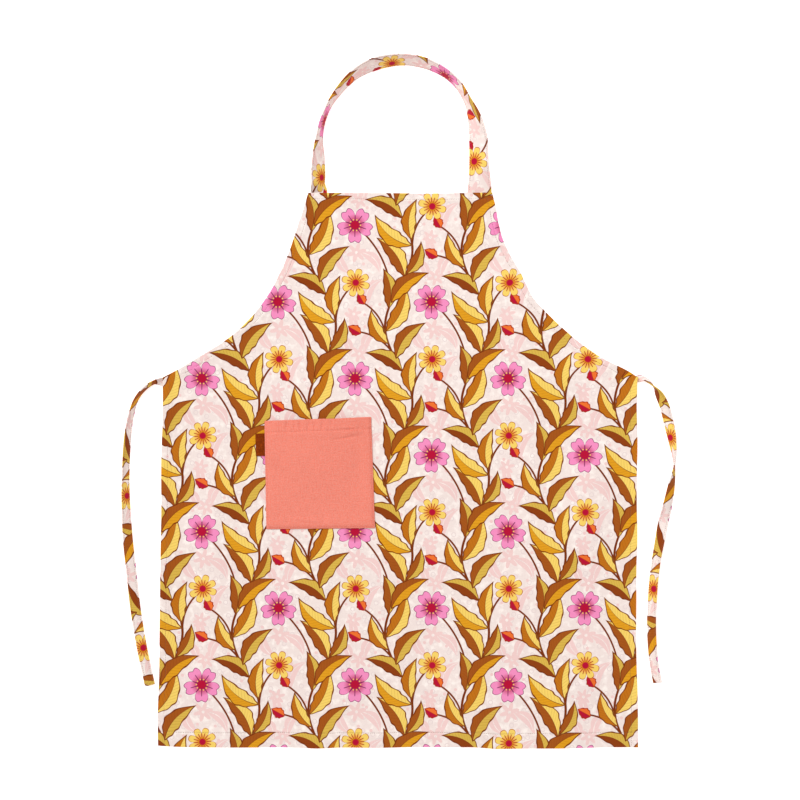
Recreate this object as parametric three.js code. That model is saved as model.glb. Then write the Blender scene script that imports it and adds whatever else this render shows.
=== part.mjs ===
// A bib apron lying face up: a hemmed body panel whose armholes curve from the bib to the waist,
// a neck strap sewn behind the bib's two top corners, a tie sewn behind each waist corner,
// a patch pocket that is open along its top, and a blank folded tab in the pocket's side seam.
// Millimetres, +Z up. The floor is Z = 0 and the bib points along +Y. Pieces are laid out with
// X = 0 on the body's centre line and Y = 0 at its bottom edge, and the finished apron is then
// moved so that its origin is the middle of the floor that it covers.
import * as THREE from "three";

const { degToRad, lerp, smoothstep } = THREE.MathUtils;

// Driving dimensions

// One layer of cloth, the air between pieces that lie on each other, and the width of the drop
// at the inner edge of a turned hem.
const WALL = 1;
const GAP = 0.3;
const DROP = 0.3;

// The body's finished outline, with its hems turned to the back. A hem's two hidden layers lift
// the cloth beside it, which comes down to the floor again over hemEase.
const BODY = {
  length: 811,
  bottomWidth: 700,
  waistWidth: 694,
  waistHeight: 541,
  bibWidth: 269,
  lean: 2,
  bottomHem: 20,
  sideHem: 10,
  topHem: 10,
  hemFold: 1.2,
  hemEase: 30,
};

// The pull of the armhole's curve at the bib's corner and at the waist's corner, outwards and down.
const ARMHOLE_AT_BIB = { out: 42, down: 160 };
const ARMHOLE_AT_WAIST = { out: 131, down: 63 };

// How finely the body's grid is divided.
const BODY_GRID = { skirtRows: 13, armholeRows: 13, panelColumns: 14, easeSteps: 3 };

// Soft folds that the cloth lies in: the middle of each, the turn of its ridge from +Y,
// the size of its footprint and the height of its crest.
const FOLDS = [
  { x: -262, y: 96, turn: 6, length: 330, width: 120, height: 4 },
  { x: -96, y: 70, turn: -4, length: 250, width: 110, height: 3 },
  { x: 96, y: 92, turn: 3, length: 300, width: 120, height: 4 },
  { x: 250, y: 78, turn: -7, length: 260, width: 110, height: 3.5 },
  { x: 268, y: 330, turn: -14, length: 300, width: 110, height: 3 },
  { x: -272, y: 318, turn: 9, length: 240, width: 90, height: 3 },
  { x: 206, y: 520, turn: -58, length: 260, width: 90, height: 3 },
  { x: -214, y: 560, turn: 52, length: 220, width: 80, height: 2.5 },
  { x: 52, y: 668, turn: 74, length: 210, width: 90, height: 2.5 },
];

// Bands of folded cloth. The neck strap stands partly on its inner edge round the loop.
const NECK_STRAP = { width: 31, thickness: 2 };
const TIE = { width: 15, thickness: 2 };
const BAND_STEPS = 4;

// Stations of the three bands: the place of the centre line and the tilt about it in degrees.
// A positive tilt raises the edge on the left of the way that the band runs.
const NECK_STATIONS = [
  { x: -116, y: 795, tilt: 0 },
  { x: -116, y: 812, tilt: 0 },
  { x: -117.5, y: 823, tilt: 41 },
  { x: -117.5, y: 836, tilt: 49 },
  { x: -117, y: 860, tilt: 57 },
  { x: -116, y: 890, tilt: 75 },
  { x: -113, y: 915, tilt: 80 },
  { x: -105, y: 938, tilt: 82 },
  { x: -90, y: 959, tilt: 69 },
  { x: -66, y: 983, tilt: 63 },
  { x: -36, y: 999, tilt: 60 },
  { x: 2, y: 1006, tilt: 65 },
  { x: 38, y: 1001, tilt: 68 },
  { x: 67, y: 987, tilt: 75 },
  { x: 88, y: 967, tilt: 74 },
  { x: 102.5, y: 943, tilt: 72 },
  { x: 112, y: 918, tilt: 53 },
  { x: 117, y: 888, tilt: 34 },
  { x: 117.5, y: 855, tilt: 28 },
  { x: 118, y: 828, tilt: 8 },
  { x: 118, y: 812, tilt: 0 },
  { x: 118, y: 795, tilt: 0 },
];
const LEFT_TIE_STATIONS = [
  { x: -326, y: 534, tilt: 0 },
  { x: -341, y: 534.9, tilt: 0 },
  { x: -347, y: 535, tilt: 0 },
  { x: -351.5, y: 535, tilt: -34 },
  { x: -356, y: 534.4, tilt: -60 },
  { x: -363, y: 531.4, tilt: -65 },
  { x: -371, y: 525, tilt: -67 },
  { x: -383, y: 510, tilt: -67 },
  { x: -391, y: 486, tilt: -60 },
  { x: -397, y: 450, tilt: -46 },
  { x: -398.5, y: 410, tilt: -44 },
  { x: -399, y: 362, tilt: -40 },
  { x: -396.5, y: 310, tilt: -26 },
  { x: -391, y: 256, tilt: -16 },
  { x: -383.5, y: 192, tilt: -12 },
  { x: -374, y: 138, tilt: -18 },
  { x: -363.8, y: 91, tilt: -20 },
];
const RIGHT_TIE_STATIONS = [
  { x: 326, y: 536, tilt: 0 },
  { x: 343, y: 538.2, tilt: 0 },
  { x: 349.5, y: 539, tilt: 0 },
  { x: 354, y: 540, tilt: -34 },
  { x: 358.5, y: 539.2, tilt: -60 },
  { x: 364.5, y: 535.8, tilt: -68 },
  { x: 373.5, y: 527, tilt: -90 },
  { x: 380.5, y: 516, tilt: -130 },
  { x: 388, y: 500, tilt: -150 },
  { x: 394.5, y: 476, tilt: -158 },
  { x: 400, y: 445, tilt: -126 },
  { x: 402.5, y: 416, tilt: -90 },
  { x: 399.5, y: 386, tilt: -54 },
  { x: 392.5, y: 350, tilt: -16 },
  { x: 387, y: 325, tilt: 12 },
  { x: 382.5, y: 300, tilt: 34 },
  { x: 375.5, y: 256, tilt: 39 },
  { x: 371.7, y: 206, tilt: 40 },
  { x: 371.5, y: 160, tilt: 40 },
  { x: 374.3, y: 124, tilt: 42 },
  { x: 379, y: 95, tilt: 42 },
];

// The body is lifted over the ends that are sewn behind it: flat for this far round an end,
// then easing back to the floor.
const END_MARGIN = 16;
const END_EASE = 45;

// The pocket, sewn on along its sides and bottom, stands open at the middle of its mouth.
const POCKET = {
  width: 157,
  height: 159,
  x: -116,
  y: 400.5,
  turn: 1.5,
  seam: 8,
  mouthHem: 16,
  gape: 8,
};
const POCKET_GRID = { columns: 12, rows: 10 };

// The tab: how far it stands out of the seam, how far it is caught in it, and its place
// along the seam above the pocket's middle.
const TAB = { out: 13, caught: 6, height: 33, rise: 44.5, thickness: 1.6, arcSteps: 4 };
const TAB_MARGIN = 12;
const TAB_EASE = 26;

const COLOURS = { cloth: 0xf3d9c4, pocket: 0xf48e79, tab: 0x70340f };

// Closed meshes

function meshFrom(name, geometry, colour, roughness) {
  geometry.computeVertexNormals();
  const material = new THREE.MeshStandardMaterial({ color: colour, roughness, metalness: 0 });
  const mesh = new THREE.Mesh(geometry, material);
  mesh.name = name;
  return mesh;
}

function indexedGeometry(points, triangles) {
  const geometry = new THREE.BufferGeometry();
  geometry.setAttribute("position", new THREE.Float32BufferAttribute(points.flatMap((p) => [p.x, p.y, p.z]), 3));
  geometry.setIndex(triangles);
  return geometry;
}

// A cloth wall between an upper and a lower grid of points, given row by row along +Y,
// each row along +X, and closed all round its edge.
function closedSheet(upper, lower) {
  const rows = upper.length;
  const columns = upper[0].length;
  const top = (row, column) => row * columns + column;
  const under = (row, column) => rows * columns + top(row, column);
  const triangles = [];
  const quad = (a, b, c, d) => triangles.push(a, b, c, a, c, d);
  for (let row = 0; row + 1 < rows; row++) {
    for (let column = 0; column + 1 < columns; column++) {
      quad(top(row, column), top(row, column + 1), top(row + 1, column + 1), top(row + 1, column));
      quad(under(row, column), under(row + 1, column), under(row + 1, column + 1), under(row, column + 1));
    }
  }
  const rim = (from, to) => quad(under(...from), under(...to), top(...to), top(...from));
  for (let column = 0; column + 1 < columns; column++) {
    rim([0, column], [0, column + 1]);
    rim([rows - 1, column + 1], [rows - 1, column]);
  }
  for (let row = 0; row + 1 < rows; row++) {
    rim([row, columns - 1], [row + 1, columns - 1]);
    rim([row + 1, 0], [row, 0]);
  }
  return indexedGeometry([...upper.flat(), ...lower.flat()], triangles);
}

// A solid through a run of rings with equally many points, closed by a flat cap at each end.
function sweptRings(rings) {
  const sides = rings[0].length;
  const triangles = [];
  for (let ring = 0; ring + 1 < rings.length; ring++) {
    for (let side = 0; side < sides; side++) {
      const here = ring * sides + side;
      const next = ring * sides + ((side + 1) % sides);
      triangles.push(here, next, next + sides, here, next + sides, here + sides);
    }
  }
  const last = (rings.length - 1) * sides;
  for (let side = 1; side + 1 < sides; side++) {
    triangles.push(0, side + 1, side);
    triangles.push(last, last + side, last + side + 1);
  }
  return indexedGeometry(rings.flat(), triangles);
}

// The body

const WAIST_CORNER = new THREE.Vector2(BODY.waistWidth / 2, BODY.waistHeight);
const BIB_CORNER = new THREE.Vector2(BODY.bibWidth / 2, BODY.length);
const ARMHOLE = new THREE.CubicBezierCurve(
  WAIST_CORNER,
  new THREE.Vector2(WAIST_CORNER.x - ARMHOLE_AT_WAIST.out, WAIST_CORNER.y + ARMHOLE_AT_WAIST.down),
  new THREE.Vector2(BIB_CORNER.x + ARMHOLE_AT_BIB.out, BIB_CORNER.y - ARMHOLE_AT_BIB.down),
  BIB_CORNER,
);

// The armhole's curve climbs all the way, so halving its parameter finds any height on it.
function armholeParameter(y) {
  let low = 0;
  let high = 1;
  for (let turn = 0; turn < 40; turn++) {
    const middle = (low + high) / 2;
    if (ARMHOLE.getPoint(middle).y < y) low = middle;
    else high = middle;
  }
  return (low + high) / 2;
}

// Half the body's width at a height, and how much wider than its depth the slanting side hem is there.
function bodyEdge(y) {
  if (y <= BODY.waistHeight) {
    return { half: lerp(BODY.bottomWidth, BODY.waistWidth, y / BODY.waistHeight) / 2, slant: 1 };
  }
  const parameter = armholeParameter(y);
  const along = ARMHOLE.getTangent(parameter);
  return { half: ARMHOLE.getPoint(parameter).x, slant: 1 / along.y };
}

// The body leans a little to the right towards its bib.
function bodyCentre(y) {
  return (BODY.lean * y) / BODY.length;
}

function foldHeight(fold, x, y) {
  const turn = degToRad(fold.turn);
  const across = ((x - fold.x) * Math.cos(turn) + (y - fold.y) * Math.sin(turn)) / (fold.width / 2);
  const along = ((y - fold.y) * Math.cos(turn) - (x - fold.x) * Math.sin(turn)) / (fold.length / 2);
  const reach = Math.min(1, across * across + along * along);
  return fold.height * (1 - reach) ** 2;
}

// A sewn end runs from a band's first station to its second.
function sewnEnd(end, edge, band) {
  return {
    x: (end.x + edge.x) / 2,
    y: (end.y + edge.y) / 2,
    halfX: Math.max(Math.abs(end.x - edge.x), band.width) / 2 + END_MARGIN,
    halfY: Math.max(Math.abs(end.y - edge.y), band.width) / 2 + END_MARGIN,
    height: band.thickness + GAP,
  };
}

const SEWN_ENDS = [
  sewnEnd(NECK_STATIONS.at(0), NECK_STATIONS.at(1), NECK_STRAP),
  sewnEnd(NECK_STATIONS.at(-1), NECK_STATIONS.at(-2), NECK_STRAP),
  sewnEnd(LEFT_TIE_STATIONS.at(0), LEFT_TIE_STATIONS.at(1), TIE),
  sewnEnd(RIGHT_TIE_STATIONS.at(0), RIGHT_TIE_STATIONS.at(1), TIE),
];

function endLift(end, x, y) {
  const pastX = Math.max(0, Math.abs(x - end.x) - end.halfX);
  const pastY = Math.max(0, Math.abs(y - end.y) - end.halfY);
  return end.height * (1 - smoothstep(Math.hypot(pastX, pastY), 0, END_EASE));
}

// How far the body's underside is off the floor, apart from what its own hems lift.
function floorLift(x, y) {
  const folds = FOLDS.reduce((sum, fold) => sum + foldHeight(fold, x, y), 0);
  return folds + Math.max(...SEWN_ENDS.map((end) => endLift(end, x, y)));
}

// Distances from an edge to the hem's inner edge, past its drop, and over the stretch that eases down.
function hemDistances(hem) {
  const ease = Array.from(
    { length: BODY_GRID.easeSteps },
    (_, step) => hem + (BODY.hemEase * (step + 1)) / BODY_GRID.easeSteps,
  );
  return [0, hem, hem + DROP, ...ease];
}

function bodyRows() {
  const bottom = hemDistances(BODY.bottomHem);
  const top = hemDistances(BODY.topHem).map((distance) => BODY.length - distance).reverse();
  const skirtStart = bottom.at(-1);
  const skirtStep = (BODY.waistHeight - skirtStart) / BODY_GRID.skirtRows;
  const skirt = Array.from({ length: BODY_GRID.skirtRows }, (_, row) => skirtStart + skirtStep * (row + 1));
  const armholeEnd = armholeParameter(top[0]);
  const armhole = Array.from(
    { length: BODY_GRID.armholeRows },
    (_, row) => ARMHOLE.getPoint((armholeEnd * (row + 1)) / (BODY_GRID.armholeRows + 1)).y,
  );
  return [...bottom, ...skirt, ...armhole, ...top];
}

// The columns of one row, each with its distance from the nearer side edge.
function bodyColumns(half, hem) {
  const distances = hemDistances(hem);
  const panelEdge = half - distances.at(-1);
  const step = (2 * panelEdge) / BODY_GRID.panelColumns;
  const panel = Array.from({ length: BODY_GRID.panelColumns - 1 }, (_, column) => step * (column + 1) - panelEdge);
  const left = distances.map((distance) => distance - half);
  const right = distances.map((distance) => half - distance).reverse();
  return [...left, ...panel, ...right].map((x) => ({ x, fromSide: half - Math.abs(x) }));
}

function bodySheet() {
  const upper = [];
  const lower = [];
  for (const y of bodyRows()) {
    const { half, slant } = bodyEdge(y);
    const sideHem = BODY.sideHem * slant;
    const pastRowHems = Math.min(y - BODY.bottomHem, BODY.length - BODY.topHem - y);
    const rows = { upper: [], lower: [] };
    for (const column of bodyColumns(half, sideHem)) {
      const x = bodyCentre(y) + column.x;
      const pastHem = Math.max(0, Math.min(pastRowHems, column.fromSide - sideHem));
      const inHem = pastHem < DROP / 2;
      const lift = floorLift(x, y);
      const eased = lift + BODY.hemFold * (1 - smoothstep(pastHem, DROP, BODY.hemEase));
      rows.upper.push(new THREE.Vector3(x, y, eased + WALL));
      rows.lower.push(new THREE.Vector3(x, y, inHem ? lift : eased));
    }
    upper.push(rows.upper);
    lower.push(rows.lower);
  }
  return closedSheet(upper, lower);
}

// The neck strap and the ties

// A flat six-sided section with blunt edges, as across and up from the centre line.
function bandSection({ width, thickness }) {
  const edge = width / 2;
  const face = thickness / 2;
  const flat = edge - face;
  return [
    { across: -edge, up: 0 },
    { across: -flat, up: -face },
    { across: flat, up: -face },
    { across: edge, up: 0 },
    { across: flat, up: face },
    { across: -flat, up: face },
  ];
}

// A band follows its stations with its lower edge on the floor.
function bandSolid(stations, band) {
  const line = stations.map(({ x, y }) => new THREE.Vector3(x, y, 0));
  const path = new THREE.CatmullRomCurve3(line, false, "centripetal");
  const section = bandSection(band);
  const steps = (stations.length - 1) * BAND_STEPS;
  const rings = [];
  for (let step = 0; step <= steps; step++) {
    const station = Math.min(Math.floor(step / BAND_STEPS), stations.length - 2);
    const part = step / BAND_STEPS - station;
    const tilt = degToRad(lerp(stations[station].tilt, stations[station + 1].tilt, part));
    const centre = path.getPoint(step / steps);
    const along = path.getTangent(step / steps);
    const rises = section.map(({ across, up }) => across * Math.sin(tilt) + up * Math.cos(tilt));
    const height = -Math.min(...rises);
    rings.push(section.map(({ across, up }, index) => {
      const left = across * Math.cos(tilt) - up * Math.sin(tilt);
      return new THREE.Vector3(centre.x - along.y * left, centre.y + along.x * left, height + rises[index]);
    }));
  }
  return sweptRings(rings);
}

// The pocket and its tab, laid out from the pocket's middle with Z = 0 on the body's cloth

function pocketStations(size, nearFold, farFold, divisions) {
  const near = nearFold + DROP;
  const far = size - farFold - DROP;
  const between = Array.from({ length: divisions + 1 }, (_, index) => lerp(near, far, index / divisions));
  return [0, nearFold, ...between, size - farFold, size];
}

// The lift of the pocket's left seam over the caught end of the tab.
function tabLift(x, y) {
  const pastX = Math.max(0, x + POCKET.width / 2 - TAB.caught - TAB_MARGIN);
  const pastY = Math.max(0, Math.abs(y - TAB.rise) - TAB.height / 2 - TAB_MARGIN);
  return (TAB.thickness + GAP) * (1 - smoothstep(Math.hypot(pastX, pastY), 0, TAB_EASE));
}

// The pocket stands furthest from the body at the middle of its mouth and meets it at its seams.
function pocketGape(x, y) {
  const across = Math.min(1, Math.abs(x) / (POCKET.width / 2 - POCKET.seam));
  const rise = Math.max(0, y + POCKET.height / 2 - POCKET.seam) / (POCKET.height - POCKET.seam);
  return POCKET.gape * (1 - across ** 2) * Math.sin((Math.PI / 2) * rise);
}

function pocketSheet() {
  const columns = pocketStations(POCKET.width, POCKET.seam, POCKET.seam, POCKET_GRID.columns);
  const rows = pocketStations(POCKET.height, POCKET.seam, POCKET.mouthHem, POCKET_GRID.rows);
  const upper = [];
  const lower = [];
  for (const fromBottom of rows) {
    const y = fromBottom - POCKET.height / 2;
    const doubled = (fromLeft) =>
      fromBottom <= POCKET.seam
      || fromBottom >= POCKET.height - POCKET.mouthHem
      || Math.min(fromLeft, POCKET.width - fromLeft) <= POCKET.seam;
    const points = columns.map((fromLeft) => {
      const x = fromLeft - POCKET.width / 2;
      const seat = GAP + tabLift(x, y) + pocketGape(x, y);
      return { x, y, low: doubled(fromLeft) ? seat : seat + WALL, high: seat + 2 * WALL };
    });
    upper.push(points.map((point) => new THREE.Vector3(point.x, point.y, point.high)));
    lower.push(points.map((point) => new THREE.Vector3(point.x, point.y, point.low)));
  }
  return closedSheet(upper, lower);
}

// A strip folded in half: its round fold is outermost and its two ends are caught in the seam.
function tabSolid() {
  const round = TAB.thickness / 2;
  const section = new THREE.Shape();
  section.moveTo(TAB.caught, 0);
  section.lineTo(TAB.caught, TAB.thickness);
  section.lineTo(round - TAB.out, TAB.thickness);
  section.absarc(round - TAB.out, round, round, Math.PI / 2, (3 * Math.PI) / 2, false);
  section.closePath();
  const solid = new THREE.ExtrudeGeometry(section, {
    depth: TAB.height,
    bevelEnabled: false,
    curveSegments: TAB.arcSteps,
  });
  solid.rotateX(Math.PI / 2);
  solid.translate(-POCKET.width / 2, TAB.rise + TAB.height / 2, GAP);
  return solid;
}

function pocketGroup() {
  const group = new THREE.Group();
  group.add(meshFrom("pocket", pocketSheet(), COLOURS.pocket, 0.9));
  group.add(meshFrom("pocket_tab", tabSolid(), COLOURS.tab, 0.75));
  group.position.set(POCKET.x, POCKET.y, WALL);
  group.rotation.z = degToRad(POCKET.turn);
  return group;
}

// The apron

const apron = new THREE.Group();
apron.add(meshFrom("body", bodySheet(), COLOURS.cloth, 0.9));
apron.add(meshFrom("neck_strap", bandSolid(NECK_STATIONS, NECK_STRAP), COLOURS.cloth, 0.9));
apron.add(meshFrom("tie_left", bandSolid(LEFT_TIE_STATIONS, TIE), COLOURS.cloth, 0.9));
apron.add(meshFrom("tie_right", bandSolid(RIGHT_TIE_STATIONS, TIE), COLOURS.cloth, 0.9));
apron.add(pocketGroup());

const footprint = new THREE.Box3().setFromObject(apron).getCenter(new THREE.Vector3());
apron.position.set(-footprint.x, -footprint.y, 0);

export default apron;
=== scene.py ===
"""A bib apron lying face up: its hemmed cloth, straps, pocket, tab and seams, built round a CAD frame.

Sizes are in metres, tables and the print are in millimetres. Pieces are laid out from the middle of the
body's bottom edge, with +Y towards the bib, and are then moved to where the frame holds them.
"""
import math

import bmesh
import bpy
import numpy as np
from bpy.props import FloatProperty, FloatVectorProperty, PointerProperty
from bpy.types import Operator, Panel, PropertyGroup
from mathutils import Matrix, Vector, noise


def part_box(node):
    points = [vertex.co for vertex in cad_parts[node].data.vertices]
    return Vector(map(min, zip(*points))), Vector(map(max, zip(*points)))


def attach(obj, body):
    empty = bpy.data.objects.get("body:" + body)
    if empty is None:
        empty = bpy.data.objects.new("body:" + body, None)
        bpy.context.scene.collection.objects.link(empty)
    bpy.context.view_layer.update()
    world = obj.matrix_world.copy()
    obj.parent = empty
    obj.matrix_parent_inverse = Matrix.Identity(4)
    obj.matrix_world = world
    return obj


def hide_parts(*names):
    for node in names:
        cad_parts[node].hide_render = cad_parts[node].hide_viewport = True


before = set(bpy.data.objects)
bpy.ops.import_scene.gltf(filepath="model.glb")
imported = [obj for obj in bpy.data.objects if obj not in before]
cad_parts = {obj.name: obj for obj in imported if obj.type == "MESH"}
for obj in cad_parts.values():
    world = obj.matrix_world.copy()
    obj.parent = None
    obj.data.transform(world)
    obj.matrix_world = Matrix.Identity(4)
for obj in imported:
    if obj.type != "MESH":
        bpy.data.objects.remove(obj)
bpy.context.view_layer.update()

bl_info = {
    "name": "Bib Apron",
    "version": (1, 0, 0),
    "blender": (4, 5, 0),
    "location": "3D View > Sidebar > Apron",
    "description": "Builds a bib apron of printed cotton, piece by piece",
    "category": "Object",
}

MM = 0.001
BODY_LOW, BODY_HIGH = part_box("body")
POCKET_LOW, POCKET_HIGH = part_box("pocket")
LAYOUT_ORIGIN = np.array(((BODY_LOW.x + BODY_HIGH.x) / 2, BODY_LOW.y, 0.0))

# Soft folds that the body lies in: middle, turn of the ridge from +Y in degrees, footprint and crest
FOLDS = [
    # x, y, turn, length, width, height
    (-262, 96, 6, 330, 120, 4),
    (-96, 70, -4, 250, 110, 3),
    (96, 92, 3, 300, 120, 4),
    (250, 78, -7, 260, 110, 3.5),
    (268, 330, -14, 300, 110, 3),
    (-272, 318, 9, 240, 90, 3),
    (206, 520, -58, 260, 90, 3),
    (-214, 560, 52, 220, 80, 2.5),
    (52, 668, 74, 210, 90, 2.5),
]

# How far the bottom edge lies off its straight line, left to right
BOTTOM_EDGE = np.array([
    # x, off the line
    (-349, 2.6), (-332, 1.5), (-314, 0.5), (-209, -0.1), (-173, 0.5), (-121, -1.3), (-86, 0.3), (-33, -0.7),
    (20, 0.6), (108, 0.6), (125, -0.7), (143, -2.4), (178, -1.7), (231, -1.4), (283, -0.3), (336, 0.5),
]) * MM

# How far the left and the right side lie to the right of their cut lines, from the bottom up
LEFT_EDGE = [
    # y, off the line
    (0, -2.2), (60, -2.8), (110, -1.2), (160, -0.9), (230, -1.0), (300, -0.3), (440, -0.3), (490, 1.2),
    (520, 1.2), (541, 0.5), (552, -0.5), (570, -4.2), (590, -2.4), (640, -1.5), (760, -1.2), (811, -0.2),
]
RIGHT_EDGE = [
    (0, -0.6), (60, -0.6), (130, -2.4), (218, -2.4), (270, -2.6), (300, -1.2), (390, -1.2), (450, 0.0),
    (515, -0.7), (541, 1.5), (550, 6.0), (570, 4.4), (590, 5.8), (622, 5.6), (640, 4.0), (657, 0.6),
    (675, 1.6), (693, 2.5), (712, -0.5), (730, -3.2), (763, -3.6), (785, -1.0), (811, 0.2),
]

# Puckers and creases of the pocket, from its middle, in the same columns as the folds
POCKET_CREASES = [
    (-56, 71, 5, 20, 8, -1.0),
    (-45, 71, 6, 19, 8, -1.7),
    (-34, 70, -4, 18, 6, -1.2),
    (-26, 70, 3, 20, 8, -1.8),
    (-14, 69, -5, 19, 7, -1.5),
    (-5, 70, 4, 17, 6, -1.2),
    (7, 70, -6, 18, 8, -1.4),
    (20, 71, 5, 16, 7, -1.0),
    (50, 75, 91, 40, 3.6, 1.2),
    (54, 70.5, 89, 38, 3.4, 1.1),
    (50, 66, 93, 44, 3.4, 1.2),
    (55, 61.5, 91, 34, 3.4, 1.0),
    (50, 57, 94, 40, 3.6, 1.0),
    (41, 51, 96.6, 58, 4.5, -1.1),
    (-20, -66, 84, 60, 9, 0.7),
    (30, -20, 20, 70, 16, 0.8),
]

# Stations of the three bands: centre line and tilt in degrees, where a positive tilt raises the left edge
NECK_STATIONS = [
    # x, y, tilt
    (-117, 795, 0), (-117, 812, 0), (-117.5, 823, 41), (-117.5, 836, 49), (-117, 860, 57), (-115.5, 890, 75),
    (-111, 914.5, 81), (-102, 936.5, 82), (-88, 957.5, 77), (-65, 981.5, 71), (-35.5, 997.5, 64),
    (2, 1004, 68), (37.5, 999, 70), (66, 985.5, 76), (87.5, 966, 77), (101, 942.5, 74), (110.5, 918, 54),
    (116, 888, 34), (117, 855, 28), (118, 828, 8), (118, 812, 0), (118, 795, 0),
]
LEFT_TIE_STATIONS = [
    (-326, 534, 0), (-341, 534.9, 0), (-347, 535, 0), (-351.5, 535, -38), (-356, 534.4, -66),
    (-363, 531.4, -73), (-371, 525, -76), (-383, 510, -75), (-391, 486, -66), (-396.3, 450, -57),
    (-398.5, 410, -55), (-398.7, 362, -47), (-396.5, 310, -29), (-391, 256, -18), (-383.5, 192, -15),
    (-374, 138, -20), (-363.8, 91, -22),
]
RIGHT_TIE_STATIONS = [
    (326, 536, 0), (343, 538.2, 0), (349.5, 539, 0), (354, 540, -34), (358.5, 539.2, -60),
    (364.5, 535.8, -68), (373.5, 527, -90), (380.5, 516, -130), (388, 500, -150), (394.5, 476, -155),
    (400, 445, -124), (402.5, 416, -88), (399, 386, -48), (392, 350, -16), (386, 325, 12),
    (381, 300, 34), (373.8, 256, 39), (370, 206, 40), (369.8, 160, 40), (372.7, 124, 42), (378, 95, 42),
]

# The print repeats as a half drop: a vine sways up each column, and motifs fill the lens between two vines
PRINT_COLUMN = 112.0
PRINT_REPEAT = 224.0
PRINT_SWAY = 20.0
PRINT_LEAVES = [
    # vine, height, direction, length, width, curl, near half, far half
    ("right", -30, 98, 60, 22, -7, "khaki", "bark"),
    ("right", 16, 126, 72, 25, -9, "butter", "bark"),
    ("right", 62, 140, 72, 25, 10, "butter", "gold"),
    ("right", 102, 154, 62, 22, -9, "khaki", "chestnut"),
    ("right", 142, 116, 58, 21, 8, "butter", "ochre"),
    ("left", -42, 82, 62, 22, 8, "butter", "ochre"),
    ("left", 8, 50, 70, 24, 10, "khaki", "bark"),
    ("left", 48, 66, 74, 25, -9, "butter", "ochre"),
    ("left", 90, 38, 72, 24, 10, "gold", "bark"),
    ("left", 132, 66, 54, 20, -7, "khaki", "bark"),
]
PRINT_STEMS = [
    # start x, start y, end x, end y, curl
    (-11, -22, -64, 92, -15),
    (-92, -52, -64, 6, 8),
    (-3, 118, -58, 160, -9),
    (-19, -72, -51, -22, -7),
]
PRINT_BUDS = [
    # x, y, direction, length, width
    (-65, 163, 150, 23, 16),
    (-55, -15, 118, 21, 15),
]
PRINT_SHADOW_LEAVES = [
    # x, y, direction, length, width, curl
    (-34, -8, 60, 50, 16, 12),
    (-40, 146, 58, 40, 14, 8),
    (-81, 140, 122, 36, 13, -7),
    (-42, 36, -48, 44, 15, 9),
    (-78, 40, 110, 40, 14, 8),
    (-74, -52, 100, 40, 13, -8),
]
PRINT_SHADOW_FLOWERS = [
    # x, y, radius, petals
    (-58, 128, 13, 6),
    (-62, 52, 15, 6),
    (-66, -38, 12, 6),
]
PRINT_FLOWERS = [
    # x, y, radius, petals, gap, notch, turn, petal, throat, line, pollen
    (-64, 92, 27, 5, 0.5, 0.14, 17, "pink", "crimson", "plum", "butter"),
    (-63, 8, 21, 8, 0.42, 0.0, 6, "butter", "orange", "rust", "gold"),
]

# Lines and small marks of the print, and how softly they end
PRINT_OUTLINE = 1.6
PRINT_STEM = 2.7
PRINT_VINE = 3.2
PRINT_EDGE = 0.22
MARK_EDGE = 0.2
DOT_CELL = 24.0
DOT_RADIUS = 2.3
RING_CELL = 15.5
RING_RADIUS = 3.0
RING_HALF_WIDTH = 0.55
PATCH_SIZE = 9.0
STEM_END = 0.02
VINE_SLOPE = 0.9
SHADOW_RIB = (0.35, 0.8)
SHADOW_EYE = (2.0, 2.5)
SHADOW_LOBE = 0.28

# A printed leaf: its outline, its lobes, its veins and its rib
LEAF_BASE = 1.34
LEAF_TAPER = 0.68
LOBE_WAVES = 25.0
LOBE_SLANT = 0.35
LOBE_DEPTH = 0.07
VEIN_COUNT = 13.0
VEIN_SLANT = 4.2
VEIN_STRENGTH = 0.28
VEIN_SIDE = (0.12, 0.02)
VEIN_END = (0.3, 1.2)
RIB_HALF_WIDTH = 0.55

# An open flower: where each of its marks begins to show, and where it is full
NOTCH_EDGE = (0.34, 0.0)
THROAT_EDGE = (0.62, 0.2)
STREAK_SIDE = (0.75, 0.35)
STREAK_END = (0.66, 0.6)
PARTING_SIDE = (0.85, 0.4)
PETAL_OUTLINE = (1.05, 0.65)
POLLEN_EDGE = (1.15, 0.75)
EYE_EDGE = (0.215, 0.195)
POLLEN_RING = 0.3

# Hems and seams
HEM_LAYERS = 3
HEM_LIFT = 0.5 * MM
HEM_EDGE = 0.1 * MM
HEM_STEEP = 5 * MM
HEM_STEP = 2.4 * MM
HEM_FIRST_STEP = 1.6 * MM
HEM_LAST_STEP = 1.2 * MM
HEM_EASE_STEPS = np.array((0.15, 2, 4.5, 8, 12, 17, 23, 30)) * MM
SEAM_FLANKS = np.array((-1.8, -0.8, 0.0, 0.7)) * MM
SEAM_END = 2 * MM
SEAM_SLACK = 0.3 * MM
STITCH_BACK = 1.0 * MM
STITCH_PITCH = 3.2 * MM
STITCH_SHARE = 0.8
STITCH_FLATNESS = 0.8
STITCH_RISE = 0.12
STITCH_SIDES, STITCH_RINGS = 6, 4
THREAD = 0.42 * MM
GROOVE_DEPTH = 0.36 * MM
GROOVE_WIDTH = 1.2 * MM
BODY_GROOVE_DEPTH = 0.5 * MM
PUCKER_HEIGHT = 0.16 * MM
PUCKER_REACH = 5.5 * MM
PUCKER_WAVE = 9 * MM
PUCKER_DRIFT = 2.5
PUCKER_DRIFT_WAVE = 26 * MM
PUCKER_GROUP_WAVE = 60 * MM
ARMHOLE_GATHER = 1.5
CLOTH_RIM = 0.5 * MM
RIM_SEGMENTS = 3
RIM_ANGLE = math.radians(45)
SMOOTH_ANGLE = math.radians(50)

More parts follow.
